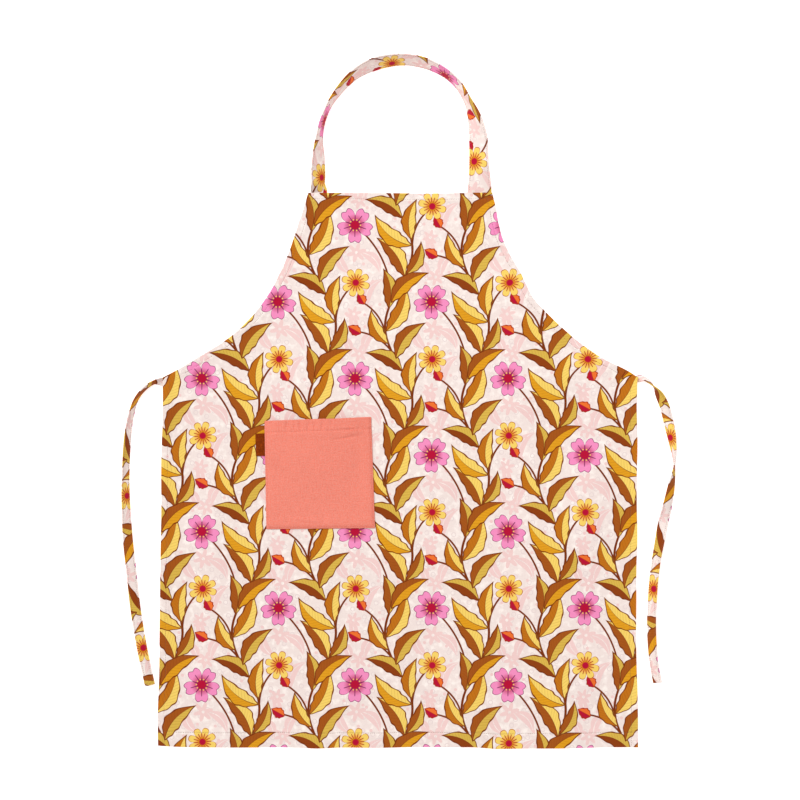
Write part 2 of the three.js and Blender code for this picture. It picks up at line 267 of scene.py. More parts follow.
# How the body lies, and how its grid is divided
FLOOR_GAP = 0.3 * MM
LEAST_GAP = 0.05 * MM
SKIRT_POINTS = 12
ARMHOLE_POINTS = 90
BODY_PANEL_COLUMNS = 118
SKIRT_ROW = 4.7 * MM
BIB_ROW = 3.2 * MM
EDGE_STEP = 2.0
SLANT_STEP = 1 * MM
SLANT_WINDOW = 70 * MM
WAIST_BELOW, WAIST_ABOVE = 10 * MM, 30 * MM
END_MARGIN = 16 * MM
END_EASE = 45 * MM
LEFT_CURL, RIGHT_CURL = 0.3 * MM, 2.2 * MM
CURL_REACH = 12 * MM
CURL_BEND = 1.3
LEFT_WAY_START = 2.0
FLUTE_HEIGHT = 1.3 * MM
FLUTE_WAVE = 95 * MM
FLUTE_REACH = 60 * MM
EDGE_REACH = 55 * MM
BOTTOM_REACH = 90 * MM
EDGE_DRIFT = 0.7 * MM
SIDE_DRIFT_WAVE = 110 * MM
BIB_DRIFT_WAVE = 100 * MM
ARMHOLE_WAVER = 0.4 * MM
ARMHOLE_WAVER_WAVE = 15 * MM
NOISE_SPAN = 1.6

# Low swells of the cloth: height, wave length across and along, seed
BODY_SWELL = (0.5 * MM, 74 * MM, 96 * MM, 2.3)
BODY_CRUMPLE = (0.22 * MM, 27 * MM, 41 * MM, 8.9)
POCKET_SWELL = (0.3 * MM, 34 * MM, 46 * MM, 12.5)

# How the pocket and its tab lie, and how their grids are divided
POCKET_SHIFT = 0.7 * MM
POCKET_RIGHT_OUT = 0.9 * MM
POCKET_RIGHT_RISES = np.array((-2.5, 1.2)) * MM
POCKET_GAP = 0.2 * MM
POCKET_EASE = 14 * MM
POCKET_PLUMP = 2.0 * MM
POCKET_PLUMP_REACH = 7 * MM
POCKET_SWELL_START = 20 * MM
POCKET_SEAM_RELIEF, MOUTH_SEAM_RELIEF = 0.8, 1.7
POCKET_RIM = 0.6 * MM
POCKET_OUTER_STEPS = np.array((0, 0.8, 1.6)) * MM
POCKET_INNER_STEPS = np.array((3.4, 4.4, 5.8, 7.4, 8.2)) * MM
POCKET_PANEL_START = 9.5 * MM
POCKET_COLUMNS, POCKET_ROWS = 130, 110
MOUTH_WAVE_HEIGHT = 0.8 * MM
MOUTH_WAVE = 48 * MM
MOUTH_WAVE_REACH = 30 * MM
MOUTH_GAP = 1.5 * MM
MOUTH_STEPS_LESS = 5
TACK_LENGTH = 9 * MM
TACK_DROP = 1.2 * MM
TAB_GAP = 0.1 * MM
TAB_MARGIN_X, TAB_MARGIN_Y = 2 * MM, 1 * MM
TAB_EASE = 24 * MM
TAB_SLACK = 0.01 * MM
TAB_CUTS_UP = np.linspace(-0.42, 0.42, 13)
TAB_CUTS_ALONG = np.linspace(-0.4, 0.4, 9)
TAB_FOLD_SHARE, TAB_FOLD_SEGMENTS = 0.48, 6
TAB_EDGE, TAB_EDGE_SEGMENTS = 0.15 * MM, 2
TAB_CURL = 0.5 * MM
TAB_WAVE = 18 * MM

# How the bands lie: gathers at their ends, places in the print, and where their seams start and end
BAND_STEP = 2.0
BAND_GAP = 0.5 * MM
BAND_EDGE_STEP = 0.9 * MM
BAND_SEAM_FLANKS = np.array((-0.7, 0.0, 0.8)) * MM
BAND_INNER_STEP, BAND_INNER_COLUMNS = 1.2 * MM, 4
BAND_SWAY = 0.35 * MM
BAND_SWAY_WAVES = (38 * MM, 30 * MM)
BAND_SWAY_SEED = 40
BAND_SEAM_THINNING, BAND_SEAM_WIDTH = 0.34, 0.9 * MM
BAND_EDGE_THINNING, BAND_EDGE_BEND = 0.16, 8
BAND_UNEVEN = 0.08
BAND_UNEVEN_WAVES = (9 * MM, 12 * MM)
ROOT_START = 17 * MM
ROOT_END = 50 * MM
NECK_ROOTS = (0.78, 1.14)
LEFT_TIE_ROOTS = (0.75, 1.0)
RIGHT_TIE_ROOTS = (0.65, 1.0)
NECK_PATTERN = (-0.070, -0.030)
LEFT_TIE_PATTERN = (-0.050, 0.010)
RIGHT_TIE_PATTERN = (0.030, 0.010)
NECK_SEAM = (20 * MM, 20 * MM)
TIE_SEAM = (24 * MM, 3 * MM)

# Weave and grain: waves in each millimetre, and how strongly they show
SLUB_ALONG, SLUB_ACROSS = 0.07, 1.1
TONE_PATCH, TONE_PATCH_STRENGTH = 0.018, 0.05
CROSSING_TONE, CROSSING_BASE = 0.04, 0.984
SLUB_RELIEF = 1.2
PRINTED_WEAVE = (0.5, 0.07)
CORAL_WEAVE = (0.75, 0.2)
WEAVE_DEPTH = 0.12 * MM
REVERSE_FADE = 0.62
CORAL_MOTTLE, CORAL_MOTTLE_STRENGTH = 0.55, 0.3
THREAD_TWIST = 0.7 / MM
THREAD_DEPTH = 0.1 * MM
LEATHER_GRAIN = 1.1 / MM
LEATHER_PATCH = 0.32 / MM
LEATHER_DEPTH = 0.15 * MM

# The stage
FLOOR_WIDTH = 80.0
KEY_PLACE = (-2.3, 1.5, 4.15)
FILL_PLACE = (0.0, 1.4, 2.2)


def srgb(red, green, blue):
    """A colour given as eight-bit screen values, as Blender's linear RGBA."""
    def linear(value):
        share = value / 255
        return share / 12.92 if share <= 0.04045 else ((share + 0.055) / 1.055) ** 2.4
    return (linear(red), linear(green), linear(blue), 1.0)


# Settings

def amount(label, note, default, **kind):
    return FloatProperty(name=label, description=note, default=default, **kind)


def size(label, note, default):
    return amount(label, note, default, min=0.0, precision=4, unit="LENGTH")


def ink(label, note, red, green, blue):
    return FloatVectorProperty(name=label, description=note, default=srgb(red, green, blue),
                               min=0.0, max=1.0, size=4, subtype="COLOR")


class ApronBodyCut(PropertyGroup):
    """Finished sizes of the body."""
    length: size("Length", "From the bottom edge to the top of the bib", BODY_HIGH.y - BODY_LOW.y)
    bottom_width: size("Bottom Width", "Across the bottom edge", BODY_HIGH.x - BODY_LOW.x)
    waist_width: size("Waist Width", "Across the corners where the ties are sewn on", 0.694)
    waist_height: size("Waist Height", "From the bottom edge to the waist corners", 0.541)
    bib_width: size("Bib Width", "Across the top of the bib", 0.269)
    lean: size("Lean", "How far the bib lies to the right of the bottom edge's middle", 0.002)
    waist_pull_in: size("Waist Pull In", "Reach of the armhole's curve from the waist, inwards", 0.131)
    waist_pull_up: size("Waist Pull Up", "Reach of the armhole's curve from the waist, upwards", 0.063)
    bib_pull_out: size("Bib Pull Out", "Reach of the armhole's curve from the bib corner, outwards", 0.042)
    bib_pull_down: size("Bib Pull Down", "Reach of the armhole's curve from the bib corner, down", 0.160)
    bottom_hem: size("Bottom Hem", "Depth of the hem along the bottom edge", 0.0225)
    side_hem: size("Side Hem", "Depth of the hem along the sides and the armholes", 0.010)
    top_hem: size("Top Hem", "Depth of the hem along the top of the bib", 0.010)
    hem_ease: size("Hem Ease", "Stretch over which the cloth comes down beside a hem", 0.030)
    cloth: size("Cloth", "Thickness of one layer", 0.0007)


class ApronBandCut(PropertyGroup):
    """Finished sizes of the folded bands."""
    neck_width: size("Neck Strap Width", "Across the folded neck strap", 0.031)
    tie_width: size("Tie Width", "Across a folded tie", 0.015)
    thickness: size("Thickness", "Through all the layers of a folded band", 0.002)
    stitch_inset: size("Stitch Inset", "From a band's edge to its row of stitches", 0.0026)


class ApronPocketCut(PropertyGroup):
    """Finished sizes of the pocket and its tab."""
    width: size("Width", "Across the pocket", 0.157)
    height: size("Height", "From the pocket's bottom edge to its mouth", 0.159)
    turn: amount("Turn", "How far the pocket is sewn on aslant", math.radians(1.5), subtype="ANGLE")
    narrowing: amount("Narrowing", "Share by which the mouth is narrower than the bottom", 0.018, min=0.0)
    seam: size("Seam", "Width that is turned under along the sides and the bottom", 0.008)
    mouth_hem: size("Mouth Hem", "Depth of the hem along the mouth", 0.018)
    gape: size("Gape", "How far the middle of the mouth stands off the body", 0.007)
    stitch_inset: size("Stitch Inset", "From the pocket's edge to its row of stitches", 0.0026)
    tab_out: size("Tab Length", "How far the tab stands out of the seam", 0.013)
    tab_caught: size("Tab Caught", "How far the tab is caught in the seam", 0.006)
    tab_height: size("Tab Height", "Length of the tab along the seam", 0.033)
    tab_rise: size("Tab Rise", "From the pocket's middle up to the tab's middle", 0.0445)
    tab_thickness: size("Tab Thickness", "Through both layers of the folded tab", 0.0016)


class ApronInks(PropertyGroup):
    """Colours of the print, the pocket, the tab and the threads."""
    ground: ink("Ground", "Pale ground of the print", 231, 216, 210)
    cream: ink("Cream", "Lightest patches of the ground", 244, 234, 227)
    mist: ink("Mist", "Pale rings on the ground", 222, 206, 203)
    blush: ink("Blush", "Shadow leaves, shadow flowers and dots on the ground", 231, 198, 194)
    butter: ink("Butter", "Light halves of leaves and yellow petals", 236, 202, 100)
    gold: ink("Gold", "Warm halves of leaves", 215, 150, 26)
    ochre: ink("Ochre", "Middle halves of leaves", 184, 107, 18)
    bark: ink("Bark", "Dark halves of leaves", 156, 80, 20)
    chestnut: ink("Chestnut", "Darkest halves of leaves", 136, 60, 12)
    umber: ink("Umber", "Stems and outlines of leaves", 116, 46, 4)
    khaki: ink("Khaki", "Dull light halves of leaves", 208, 172, 72)
    pink: ink("Pink", "Petals of the large flower", 234, 138, 184)
    plum: ink("Plum", "Lines of the large flower", 106, 20, 76)
    crimson: ink("Crimson", "Eyes and throats of flowers", 176, 10, 50)
    orange: ink("Orange", "Buds and the small flower's throat", 230, 110, 44)
    rust: ink("Rust", "Lines of buds and the small flower", 162, 48, 14)
    coral: ink("Coral", "Dye of the pocket", 229, 121, 100)
    tab: ink("Tab", "Brown of the tab", 122, 48, 6)
    # Dark brown: this thread colour is partly the thread's own and partly painted shade of the seam grooves
    # along the stitch lines.
    thread: ink("Thread", "Thread in the printed cloth", 136, 94, 72)
    coral_thread: ink("Coral Thread", "Thread in the pocket", 216, 108, 90)


class ApronStageSetup(PropertyGroup):
    """Floor, lights and camera."""
    view_width: size("View Width", "Width of floor in the picture", 1.1715)
    view_x: amount("View X", "Middle of the picture across", 0.0018, unit="LENGTH")
    view_y: amount("View Y", "Middle of the picture up", 0.0017, unit="LENGTH")
    lens: amount("Lens", "Focal length", 85.0, min=1.0, unit="CAMERA")
    key: amount("Key Light", "Strength of the soft light from the upper left", 1.4, min=0.0)
    key_softness: amount("Key Softness", "How wide the key light looks from the apron", math.radians(32),
                         min=0.0, subtype="ANGLE")
    fill: amount("Fill Light", "Power of the near soft light above the bib", 21.0, min=0.0, unit="POWER")
    fill_width: size("Fill Width", "Width of the near soft light", 1.5)
    sky: amount("Sky", "Strength of the even light from all round", 0.612, min=0.0)
    sky_tint: ink("Sky Tint", "Warm colour of the even light", 255, 244, 243)
    key_tint: ink("Key Tint", "Cool colour of the key and fill lights", 247, 255, 255)
    floor: ink("Floor", "Pale floor", 252, 252, 252)
    floor_tint: ink("Floor Tint", "Warm colour of the floor's own light", 255, 236, 234)
    floor_glow: amount("Floor Glow", "Light of the floor's own, as on a light table", 0.58, min=0.0)


class ApronSettings(PropertyGroup):
    """All that a user would change on the apron."""
    body: PointerProperty(type=ApronBodyCut)
    bands: PointerProperty(type=ApronBandCut)
    pocket: PointerProperty(type=ApronPocketCut)
    inks: PointerProperty(type=ApronInks)
    stage: PointerProperty(type=ApronStageSetup)


def settings():
    return bpy.context.scene.apron


# Lines and reliefs of lying cloth

def smoothstep(value, low, high):
    share = np.clip((value - low) / (high - low), 0.0, 1.0)
    return share * share * (3 - 2 * share)


def ripple(across, along, seed):
    """Smooth noise from about -1 to 1 at each point of two arrays, whose unit is one wave."""
    across, along = np.broadcast_arrays(across, along)
    heights = [noise.noise(Vector((u, v, seed))) for u, v in zip(across.ravel(), along.ravel())]
    return np.array(heights).reshape(across.shape) * NOISE_SPAN


def swell(x, y, height, across, along, seed):
    """A low unevenness of the cloth, from about nothing to twice its height."""
    return height * (1 + ripple(x / across, y / along, seed))


def soft_ridges(rows, x, y):
    """Summed height of soft ridges, each from a row of its middle, turn, footprint and crest."""
    total = np.zeros_like(x)
    for ridge_x, ridge_y, turn, length, width, crest in rows:
        cos, sin = math.cos(math.radians(turn)), math.sin(math.radians(turn))
        off_x, off_y = x - ridge_x * MM, y - ridge_y * MM
        across = (off_x * cos + off_y * sin) / (width * MM / 2)
        along = (off_y * cos - off_x * sin) / (length * MM / 2)
        total += crest * MM * (1 - np.minimum(1, across ** 2 + along ** 2)) ** 2
    return total


def seam_relief(off_seam, way, seed, gather=1.0, depth=GROOVE_DEPTH):
    """The groove that a row of stitches pulls into cloth, and the puckers that stand beside it."""
    drift = PUCKER_DRIFT * ripple(way / PUCKER_DRIFT_WAVE, seed, 1.7)
    wave = np.sin(2 * math.pi * way / PUCKER_WAVE + drift)
    pucker = PUCKER_HEIGHT * gather * (1 + ripple(way / PUCKER_GROUP_WAVE, seed, 5.1)) * wave
    groove = depth * np.exp(-(off_seam / GROOVE_WIDTH) ** 2)
    return pucker * np.exp(-(off_seam / PUCKER_REACH) ** 2) - groove


def hem_steps(hem):
    """Distances from a hemmed edge: across the hem, close together at its stitches, and over its ease."""
    stitch = hem - STITCH_BACK
    last = stitch + SEAM_FLANKS[0] - HEM_LAST_STEP
    across = np.linspace(HEM_FIRST_STEP, last, max(3, round(hem / HEM_STEP)))
    return np.concatenate(([0.0], across, stitch + SEAM_FLANKS, hem + HEM_EASE_STEPS))


def walked(points):
    """The way along a line of points, from its first one, by the points' first two columns."""
    return np.concatenate(([0.0], np.cumsum(np.hypot(*np.diff(points[:, :2], axis=0).T))))


def smooth_path(knots, step):
    """A smooth line through knots, with points a step apart by the knots' first two columns."""
    chord = walked(knots)
    slopes = np.gradient(knots, chord, axis=0)
    at = np.linspace(0, chord[-1], round(chord[-1] / step) + 1)
    knot = np.clip(np.searchsorted(chord, at, side="right") - 1, 0, len(chord) - 2)
    span = (chord[knot + 1] - chord[knot])[:, None]
    t = (at - chord[knot])[:, None] / span
    return ((1 + 2 * t) * (1 - t) ** 2 * knots[knot] + t * (1 - t) ** 2 * span * slopes[knot]
            + t ** 2 * (3 - 2 * t) * knots[knot + 1] + t ** 2 * (t - 1) * span * slopes[knot + 1])


def paced(line, pitch):
    """Evenly spaced points along a line of points."""
    way = walked(line)
    at = np.linspace(0, way[-1], max(2, round(way[-1] / pitch) + 1))
    return np.stack((np.interp(at, way, line[:, 0]), np.interp(at, way, line[:, 1])), axis=1)


# Shapes of the pieces

class BodyForm:
    """The lying body: its outline, its hems and its upper face."""

    def __init__(self, cut, bands):
        self.cut = cut
        self.hem = cut.cloth * HEM_LAYERS
        self.side = self.side_line()
        self.edges = [smooth_path(np.array(rows, float), EDGE_STEP) * MM for rows in (LEFT_EDGE, RIGHT_EDGE)]
        self.ends = [self.sewn_end(end, edge, width, bands.thickness) for end, edge, width in (
            (*NECK_STATIONS[:2], bands.neck_width),
            (*NECK_STATIONS[:-3:-1], bands.neck_width),
            (*LEFT_TIE_STATIONS[:2], bands.tie_width),
            (*RIGHT_TIE_STATIONS[:2], bands.tie_width),
        )]

    @staticmethod
    def sewn_end(end, edge, width, thickness):
        """Middle and reach of the lift over a sewn end, which runs from the first station to the second."""
        end, edge = np.array(end[:2]) * MM, np.array(edge[:2]) * MM
        reach = np.maximum(np.abs(end - edge), width) / 2 + END_MARGIN
        return (end + edge) / 2, reach, thickness + BAND_GAP + FLOOR_GAP

    def side_line(self):
        """Half width and height along the right edge, from the bottom corner over the waist to the bib."""
        cut = self.cut
        waist = np.array((cut.waist_width / 2, cut.waist_height))
        bib = np.array((cut.bib_width / 2, cut.length))
        from_waist = waist + (-cut.waist_pull_in, cut.waist_pull_up)
        from_bib = bib + (cut.bib_pull_out, -cut.bib_pull_down)
        skirt = np.linspace((cut.bottom_width / 2, 0.0), waist, SKIRT_POINTS)
        t = np.linspace(0, 1, ARMHOLE_POINTS)[:, None]
        armhole = ((1 - t) ** 3 * waist + 3 * (1 - t) ** 2 * t * from_waist
                   + 3 * (1 - t) * t ** 2 * from_bib + t ** 3 * bib)
        return np.concatenate((skirt[:-1], armhole))

    def centre(self, y):
        return self.cut.lean * y / self.cut.length

    def half_width(self, y):
        return np.interp(y, self.side[:, 1], self.side[:, 0])

    def slant(self, y):
        """How much wider than its depth a side hem is at a height, evened out round the waist corner."""
        steps = np.diff(self.side, axis=0)
        middles = (self.side[1:, 1] + self.side[:-1, 1]) / 2
        heights = np.arange(-SLANT_WINDOW, self.cut.length + SLANT_WINDOW, SLANT_STEP)
        slants = np.interp(heights, middles, np.hypot(*steps.T) / steps[:, 1])
        window = np.ones(round(SLANT_WINDOW / SLANT_STEP))
        return np.interp(y, heights, np.convolve(slants, window / len(window), mode="same"))

    def from_side(self, x, y):
        """Distance from the nearer side edge, and the way along that edge."""
        out = np.abs(x - self.centre(y))
        nearest = np.full(x.shape, np.inf)
        way = np.zeros(x.shape)
        passed = 0.0
        for start, end in zip(self.side[:-1], self.side[1:]):
            step = end - start
            length = np.hypot(*step)
            share = np.clip(((out - start[0]) * step[0] + (y - start[1]) * step[1]) / length ** 2, 0, 1)
            gap = np.hypot(out - start[0] - share * step[0], y - start[1] - share * step[1])
            way = np.where(gap < nearest, passed + share * length, way)
            nearest = np.minimum(gap, nearest)
            passed += length
        return nearest, way

    def over_waist(self, y):
        """Rises from 0 along the skirt to 1 along the armholes, whose bias edges pucker more."""
        return smoothstep(y, self.cut.waist_height - WAIST_BELOW, self.cut.waist_height + WAIST_ABOVE)

    def past_hem(self, side, y):
        """How far inside the hems' inner edges a point lies, below 0 in a hem."""
        cut = self.cut
        return np.minimum(np.minimum(y - cut.bottom_hem, cut.length - cut.top_hem - y), side - cut.side_hem)

    def in_hem(self, x, y):
        side, _ = self.from_side(x, y)
        return self.past_hem(side, y) < HEM_EDGE

    def end_lift(self, x, y):
        """The rise of the body over the sewn ends of the bands."""
        lifts = []
        for middle, reach, lift in self.ends:
            past_x = np.maximum(0, np.abs(x - middle[0]) - reach[0])
            past_y = np.maximum(0, np.abs(y - middle[1]) - reach[1])
            lifts.append(lift * (1 - smoothstep(np.hypot(past_x, past_y), 0, END_EASE)))
        return np.max(lifts, axis=0)

    def top(self, x, y):
        """Height of the upper face over the floor."""
        cut = self.cut
        side, way = self.from_side(x, y)
        way = way + np.where(x < 0, LEFT_WAY_START, 0.0)
        past = self.past_hem(side, y)
        drop = 0.5 * smoothstep(past, 0, HEM_STEEP) + 0.5 * smoothstep(past, 0, cut.hem_ease)
        height = FLOOR_GAP + cut.cloth + (self.hem + HEM_LIFT - cut.cloth) * (1 - drop)
        curl = np.where(x > 0, RIGHT_CURL, LEFT_CURL) * (1 - self.over_waist(y))
        height = height + soft_ridges(FOLDS, x, y) + curl * np.clip(1 - side / CURL_REACH, 0, 1) ** CURL_BEND
        height = height + self.end_lift(x, y) + swell(x, y, *BODY_SWELL) + swell(x, y, *BODY_CRUMPLE)
        for gap, hem, along, seed, gather in (
            (side, cut.side_hem, way, 0.3, 1 + ARMHOLE_GATHER * self.over_waist(y)),
            (y, cut.bottom_hem, x, 4.4, 1.0),
            (cut.length - y, cut.top_hem, x, 7.7, 1.0),
        ):
            flute = FLUTE_HEIGHT * np.maximum(0, ripple(along / FLUTE_WAVE, seed, 3.3))
            height = height + flute * (1 - smoothstep(gap, 0, FLUTE_REACH)) ** 2
            height = height + seam_relief(gap - hem + STITCH_BACK, along, seed, gather, BODY_GROOVE_DEPTH)
        return np.maximum(height, np.where(past < HEM_EDGE, self.hem, cut.cloth) + LEAST_GAP)

    def place(self, x, y):
        """Points of the upper face where the cloth really lies, its edges a little uneven."""
        side, way = self.from_side(x, y)
        near_side = 1 - smoothstep(side, 0, EDGE_REACH)
        near_bib = 1 - smoothstep(self.cut.length - y, 0, EDGE_REACH)
        left_off, right_off = (np.interp(y, *edge.T) for edge in self.edges)
        waver = ARMHOLE_WAVER * near_side ** 4 * self.over_waist(y)
        shift_x = EDGE_DRIFT * near_side * ripple(way / SIDE_DRIFT_WAVE, np.sign(x), 6.1)
        shift_x = shift_x + waver * ripple(way / ARMHOLE_WAVER_WAVE, np.sign(x), 3.6)
        shift_x = shift_x + np.where(x < 0, left_off, right_off) * near_side
        shift_y = np.interp(x, *BOTTOM_EDGE.T) * (1 - smoothstep(y, 0, BOTTOM_REACH))
        shift_y = shift_y + EDGE_DRIFT * near_bib * ripple(x / BIB_DRIFT_WAVE, 1.0, 9.2)
        return np.stack((x + shift_x, y + shift_y, self.top(x, y)), axis=-1) + LAYOUT_ORIGIN

    def grid(self):
        """Flat places of the body's grid, whose outer rows and columns follow the hems."""
        cut = self.cut
        bottom, top = hem_steps(cut.bottom_hem), cut.length - hem_steps(cut.top_hem)[::-1]
        skirt_rows = round((cut.waist_height - bottom[-1]) / SKIRT_ROW)
        bib_rows = round((top[0] - cut.waist_height) / BIB_ROW)
        skirt = np.linspace(bottom[-1], cut.waist_height, skirt_rows + 1)[1:]
        bib = np.linspace(cut.waist_height, top[0], bib_rows + 1)[1:-1]
        rows = np.concatenate((bottom, skirt, bib, top))
        side = hem_steps(cut.side_hem)
        xs = []
        for y, half, slant in zip(rows, self.half_width(rows), self.slant(rows)):
            left = side * slant - half
            panel = np.linspace(left[-1], -left[-1], BODY_PANEL_COLUMNS + 1)[1:-1]
            xs.append(np.concatenate((left, panel, -left[::-1])) + self.centre(y))
        xs = np.array(xs)
        return xs, np.broadcast_to(rows[:, None], xs.shape)

    def stitch_lines(self):
        """Flat lines of the hems' stitches."""
        cut = self.cut
        inset = cut.side_hem - STITCH_BACK
        bottom, bib = cut.bottom_hem - STITCH_BACK, cut.length - cut.top_hem + STITCH_BACK
        along = np.diff(self.side, axis=0)
        inwards = np.stack((-along[:, 1], along[:, 0]), axis=1) / np.hypot(*along.T)[:, None]
        middles = (self.side[1:] + self.side[:-1]) / 2 + inset * inwards
        gap, _ = self.from_side(middles[:, 0] + self.centre(middles[:, 1]), middles[:, 1])
        middles = middles[gap > inset - SEAM_SLACK]
        start = np.array(((middles[0, 0], SEAM_END),))
        end = np.array(((np.interp(cut.length, middles[:, 1], middles[:, 0]), cut.length - SEAM_END),))
        side = np.concatenate((start, middles[middles[:, 1] < cut.length - 2 * SEAM_END], end))
        lean = np.stack((self.centre(side[:, 1]), np.zeros(len(side))), axis=1)
        wide, narrow = self.half_width(bottom) - SEAM_END, self.half_width(bib) - SEAM_END
        return [
            side + lean,
            side * (-1, 1) + lean,
            np.array(((-wide, bottom), (wide, bottom))),
            np.array(((-narrow, bib), (narrow, bib))) + (self.centre(bib), 0),
        ]


class PocketForm:
    """The patch pocket on the body, laid out from its own middle."""

    def __init__(self, cut, body):
        self.cut = cut
        self.body = body
        self.cloth = body.cut.cloth
        middle = (POCKET_LOW + POCKET_HIGH) / 2
        self.middle = np.array((middle.x - POCKET_SHIFT, middle.y)) - LAYOUT_ORIGIN[:2]

    def on_body(self, x, y):
        cos, sin = math.cos(self.cut.turn), math.sin(self.cut.turn)
        return self.middle[0] + x * cos - y * sin, self.middle[1] + x * sin + y * cos

    def from_edges(self, x, y):
        """Distance from the nearest sewn edge, from the bottom edge and from the mouth."""
        cut = self.cut
        bottom = y + cut.height / 2
        return np.minimum(cut.width / 2 - np.abs(x), bottom), bottom, cut.height / 2 - y

    def doubled(self, x, y):
        sewn, _, mouth = self.from_edges(x, y)
        return (sewn <= self.cut.seam) | (mouth <= self.cut.mouth_hem)

    def tab_lift(self, x, y):
        """The lift of the left seam over the caught end of the tab."""
        cut = self.cut
        past_x = np.maximum(0, x + cut.width / 2 - cut.tab_caught - TAB_MARGIN_X)
        past_y = np.maximum(0, np.abs(y - cut.tab_rise) - cut.tab_height / 2 - TAB_MARGIN_Y)
        return (cut.tab_thickness + POCKET_GAP) * (1 - smoothstep(np.hypot(past_x, past_y), 0, TAB_EASE))

    def top(self, x, y):
        """Height of the pocket's upper face over the floor."""
        cut = self.cut
        sewn, bottom, mouth = self.from_edges(x, y)
        across = np.minimum(1, np.abs(x) / (cut.width / 2 - cut.seam))
        rise = np.maximum(0, bottom - cut.seam) / (cut.height - cut.seam)
        gape = cut.gape * (1 - across ** 2) * np.sin(math.pi / 2 * rise) ** 2
        ease = 1 - smoothstep(np.minimum(sewn - cut.seam, mouth - cut.mouth_hem), 0, POCKET_EASE)
        plump = POCKET_PLUMP * (1 - np.clip(1 - sewn / POCKET_PLUMP_REACH, 0, 1) ** 2)
        uneven = swell(x, y, *POCKET_SWELL) * np.minimum(1, bottom / POCKET_SWELL_START)
        height = self.body.top(*self.lay(x, y)) + POCKET_GAP + self.cloth * (1 + ease)
        height = height + gape + self.tab_lift(x, y) + soft_ridges(POCKET_CREASES, x, y) + plump + uneven
        height = height + POCKET_SEAM_RELIEF * seam_relief(sewn - cut.stitch_inset, x + y, 2.2)
        return height + MOUTH_SEAM_RELIEF * seam_relief(mouth - cut.mouth_hem + STITCH_BACK, x, 6.6)

    def lay(self, x, y):
        """Where on the body the pocket lies, narrowed at its wavy mouth and longer on its right side."""
        cut = self.cut
        _, _, mouth = self.from_edges(x, y)
        wave = MOUTH_WAVE_HEIGHT * ripple(x / MOUTH_WAVE, 0.0, 15.1)
        wavy = y + wave * (1 - smoothstep(mouth, 0, MOUTH_WAVE_REACH))
        right = 0.5 + x / cut.width
        rise = np.interp(y, (-cut.height / 2, cut.height / 2), POCKET_RIGHT_RISES)
        narrowed = x * (1 - cut.narrowing * y / cut.height)
        return self.on_body(narrowed + right * POCKET_RIGHT_OUT, wavy + right * rise)

    def place(self, x, y):
        """Points of the upper face."""
        return np.stack((*self.lay(x, y), self.top(x, y)), axis=-1) + LAYOUT_ORIGIN

    def grid(self):
        """Flat places of the pocket's grid, close together at its seams and its mouth."""
        half_width, half_height = self.cut.width / 2, self.cut.height / 2
        flanks = np.concatenate((POCKET_OUTER_STEPS, [self.cut.stitch_inset], POCKET_INNER_STEPS))
        mouth = hem_steps(self.cut.mouth_hem)[:-MOUTH_STEPS_LESS]
        panel = half_width - POCKET_PANEL_START
        across = np.linspace(-panel, panel, POCKET_COLUMNS)
        up = np.linspace(POCKET_PANEL_START - half_height, half_height - mouth[-1] - MOUTH_GAP, POCKET_ROWS)
        return np.meshgrid(
            np.concatenate((flanks - half_width, across, half_width - flanks[::-1])),
            np.concatenate((flanks - half_height, up, half_height - mouth[::-1])))

    def stitch_lines(self):
        """Flat lines of the stitches: round three sides, along the mouth's hem and across both corners."""
        cut = self.cut
        side, bottom = cut.width / 2 - cut.stitch_inset, cut.stitch_inset - cut.height / 2
        mouth = cut.height / 2 - MOUTH_GAP
        hem = cut.height / 2 - cut.mouth_hem + STITCH_BACK
        tack = mouth - TACK_DROP
        return [
            np.array(((-side, mouth), (-side, bottom), (side, bottom), (side, mouth))),
            np.array(((-side, hem), (side, hem))),
            np.array(((-side, tack), (TACK_LENGTH - side, tack))),
            np.array(((side - TACK_LENGTH, tack), (side, tack))),
        ]


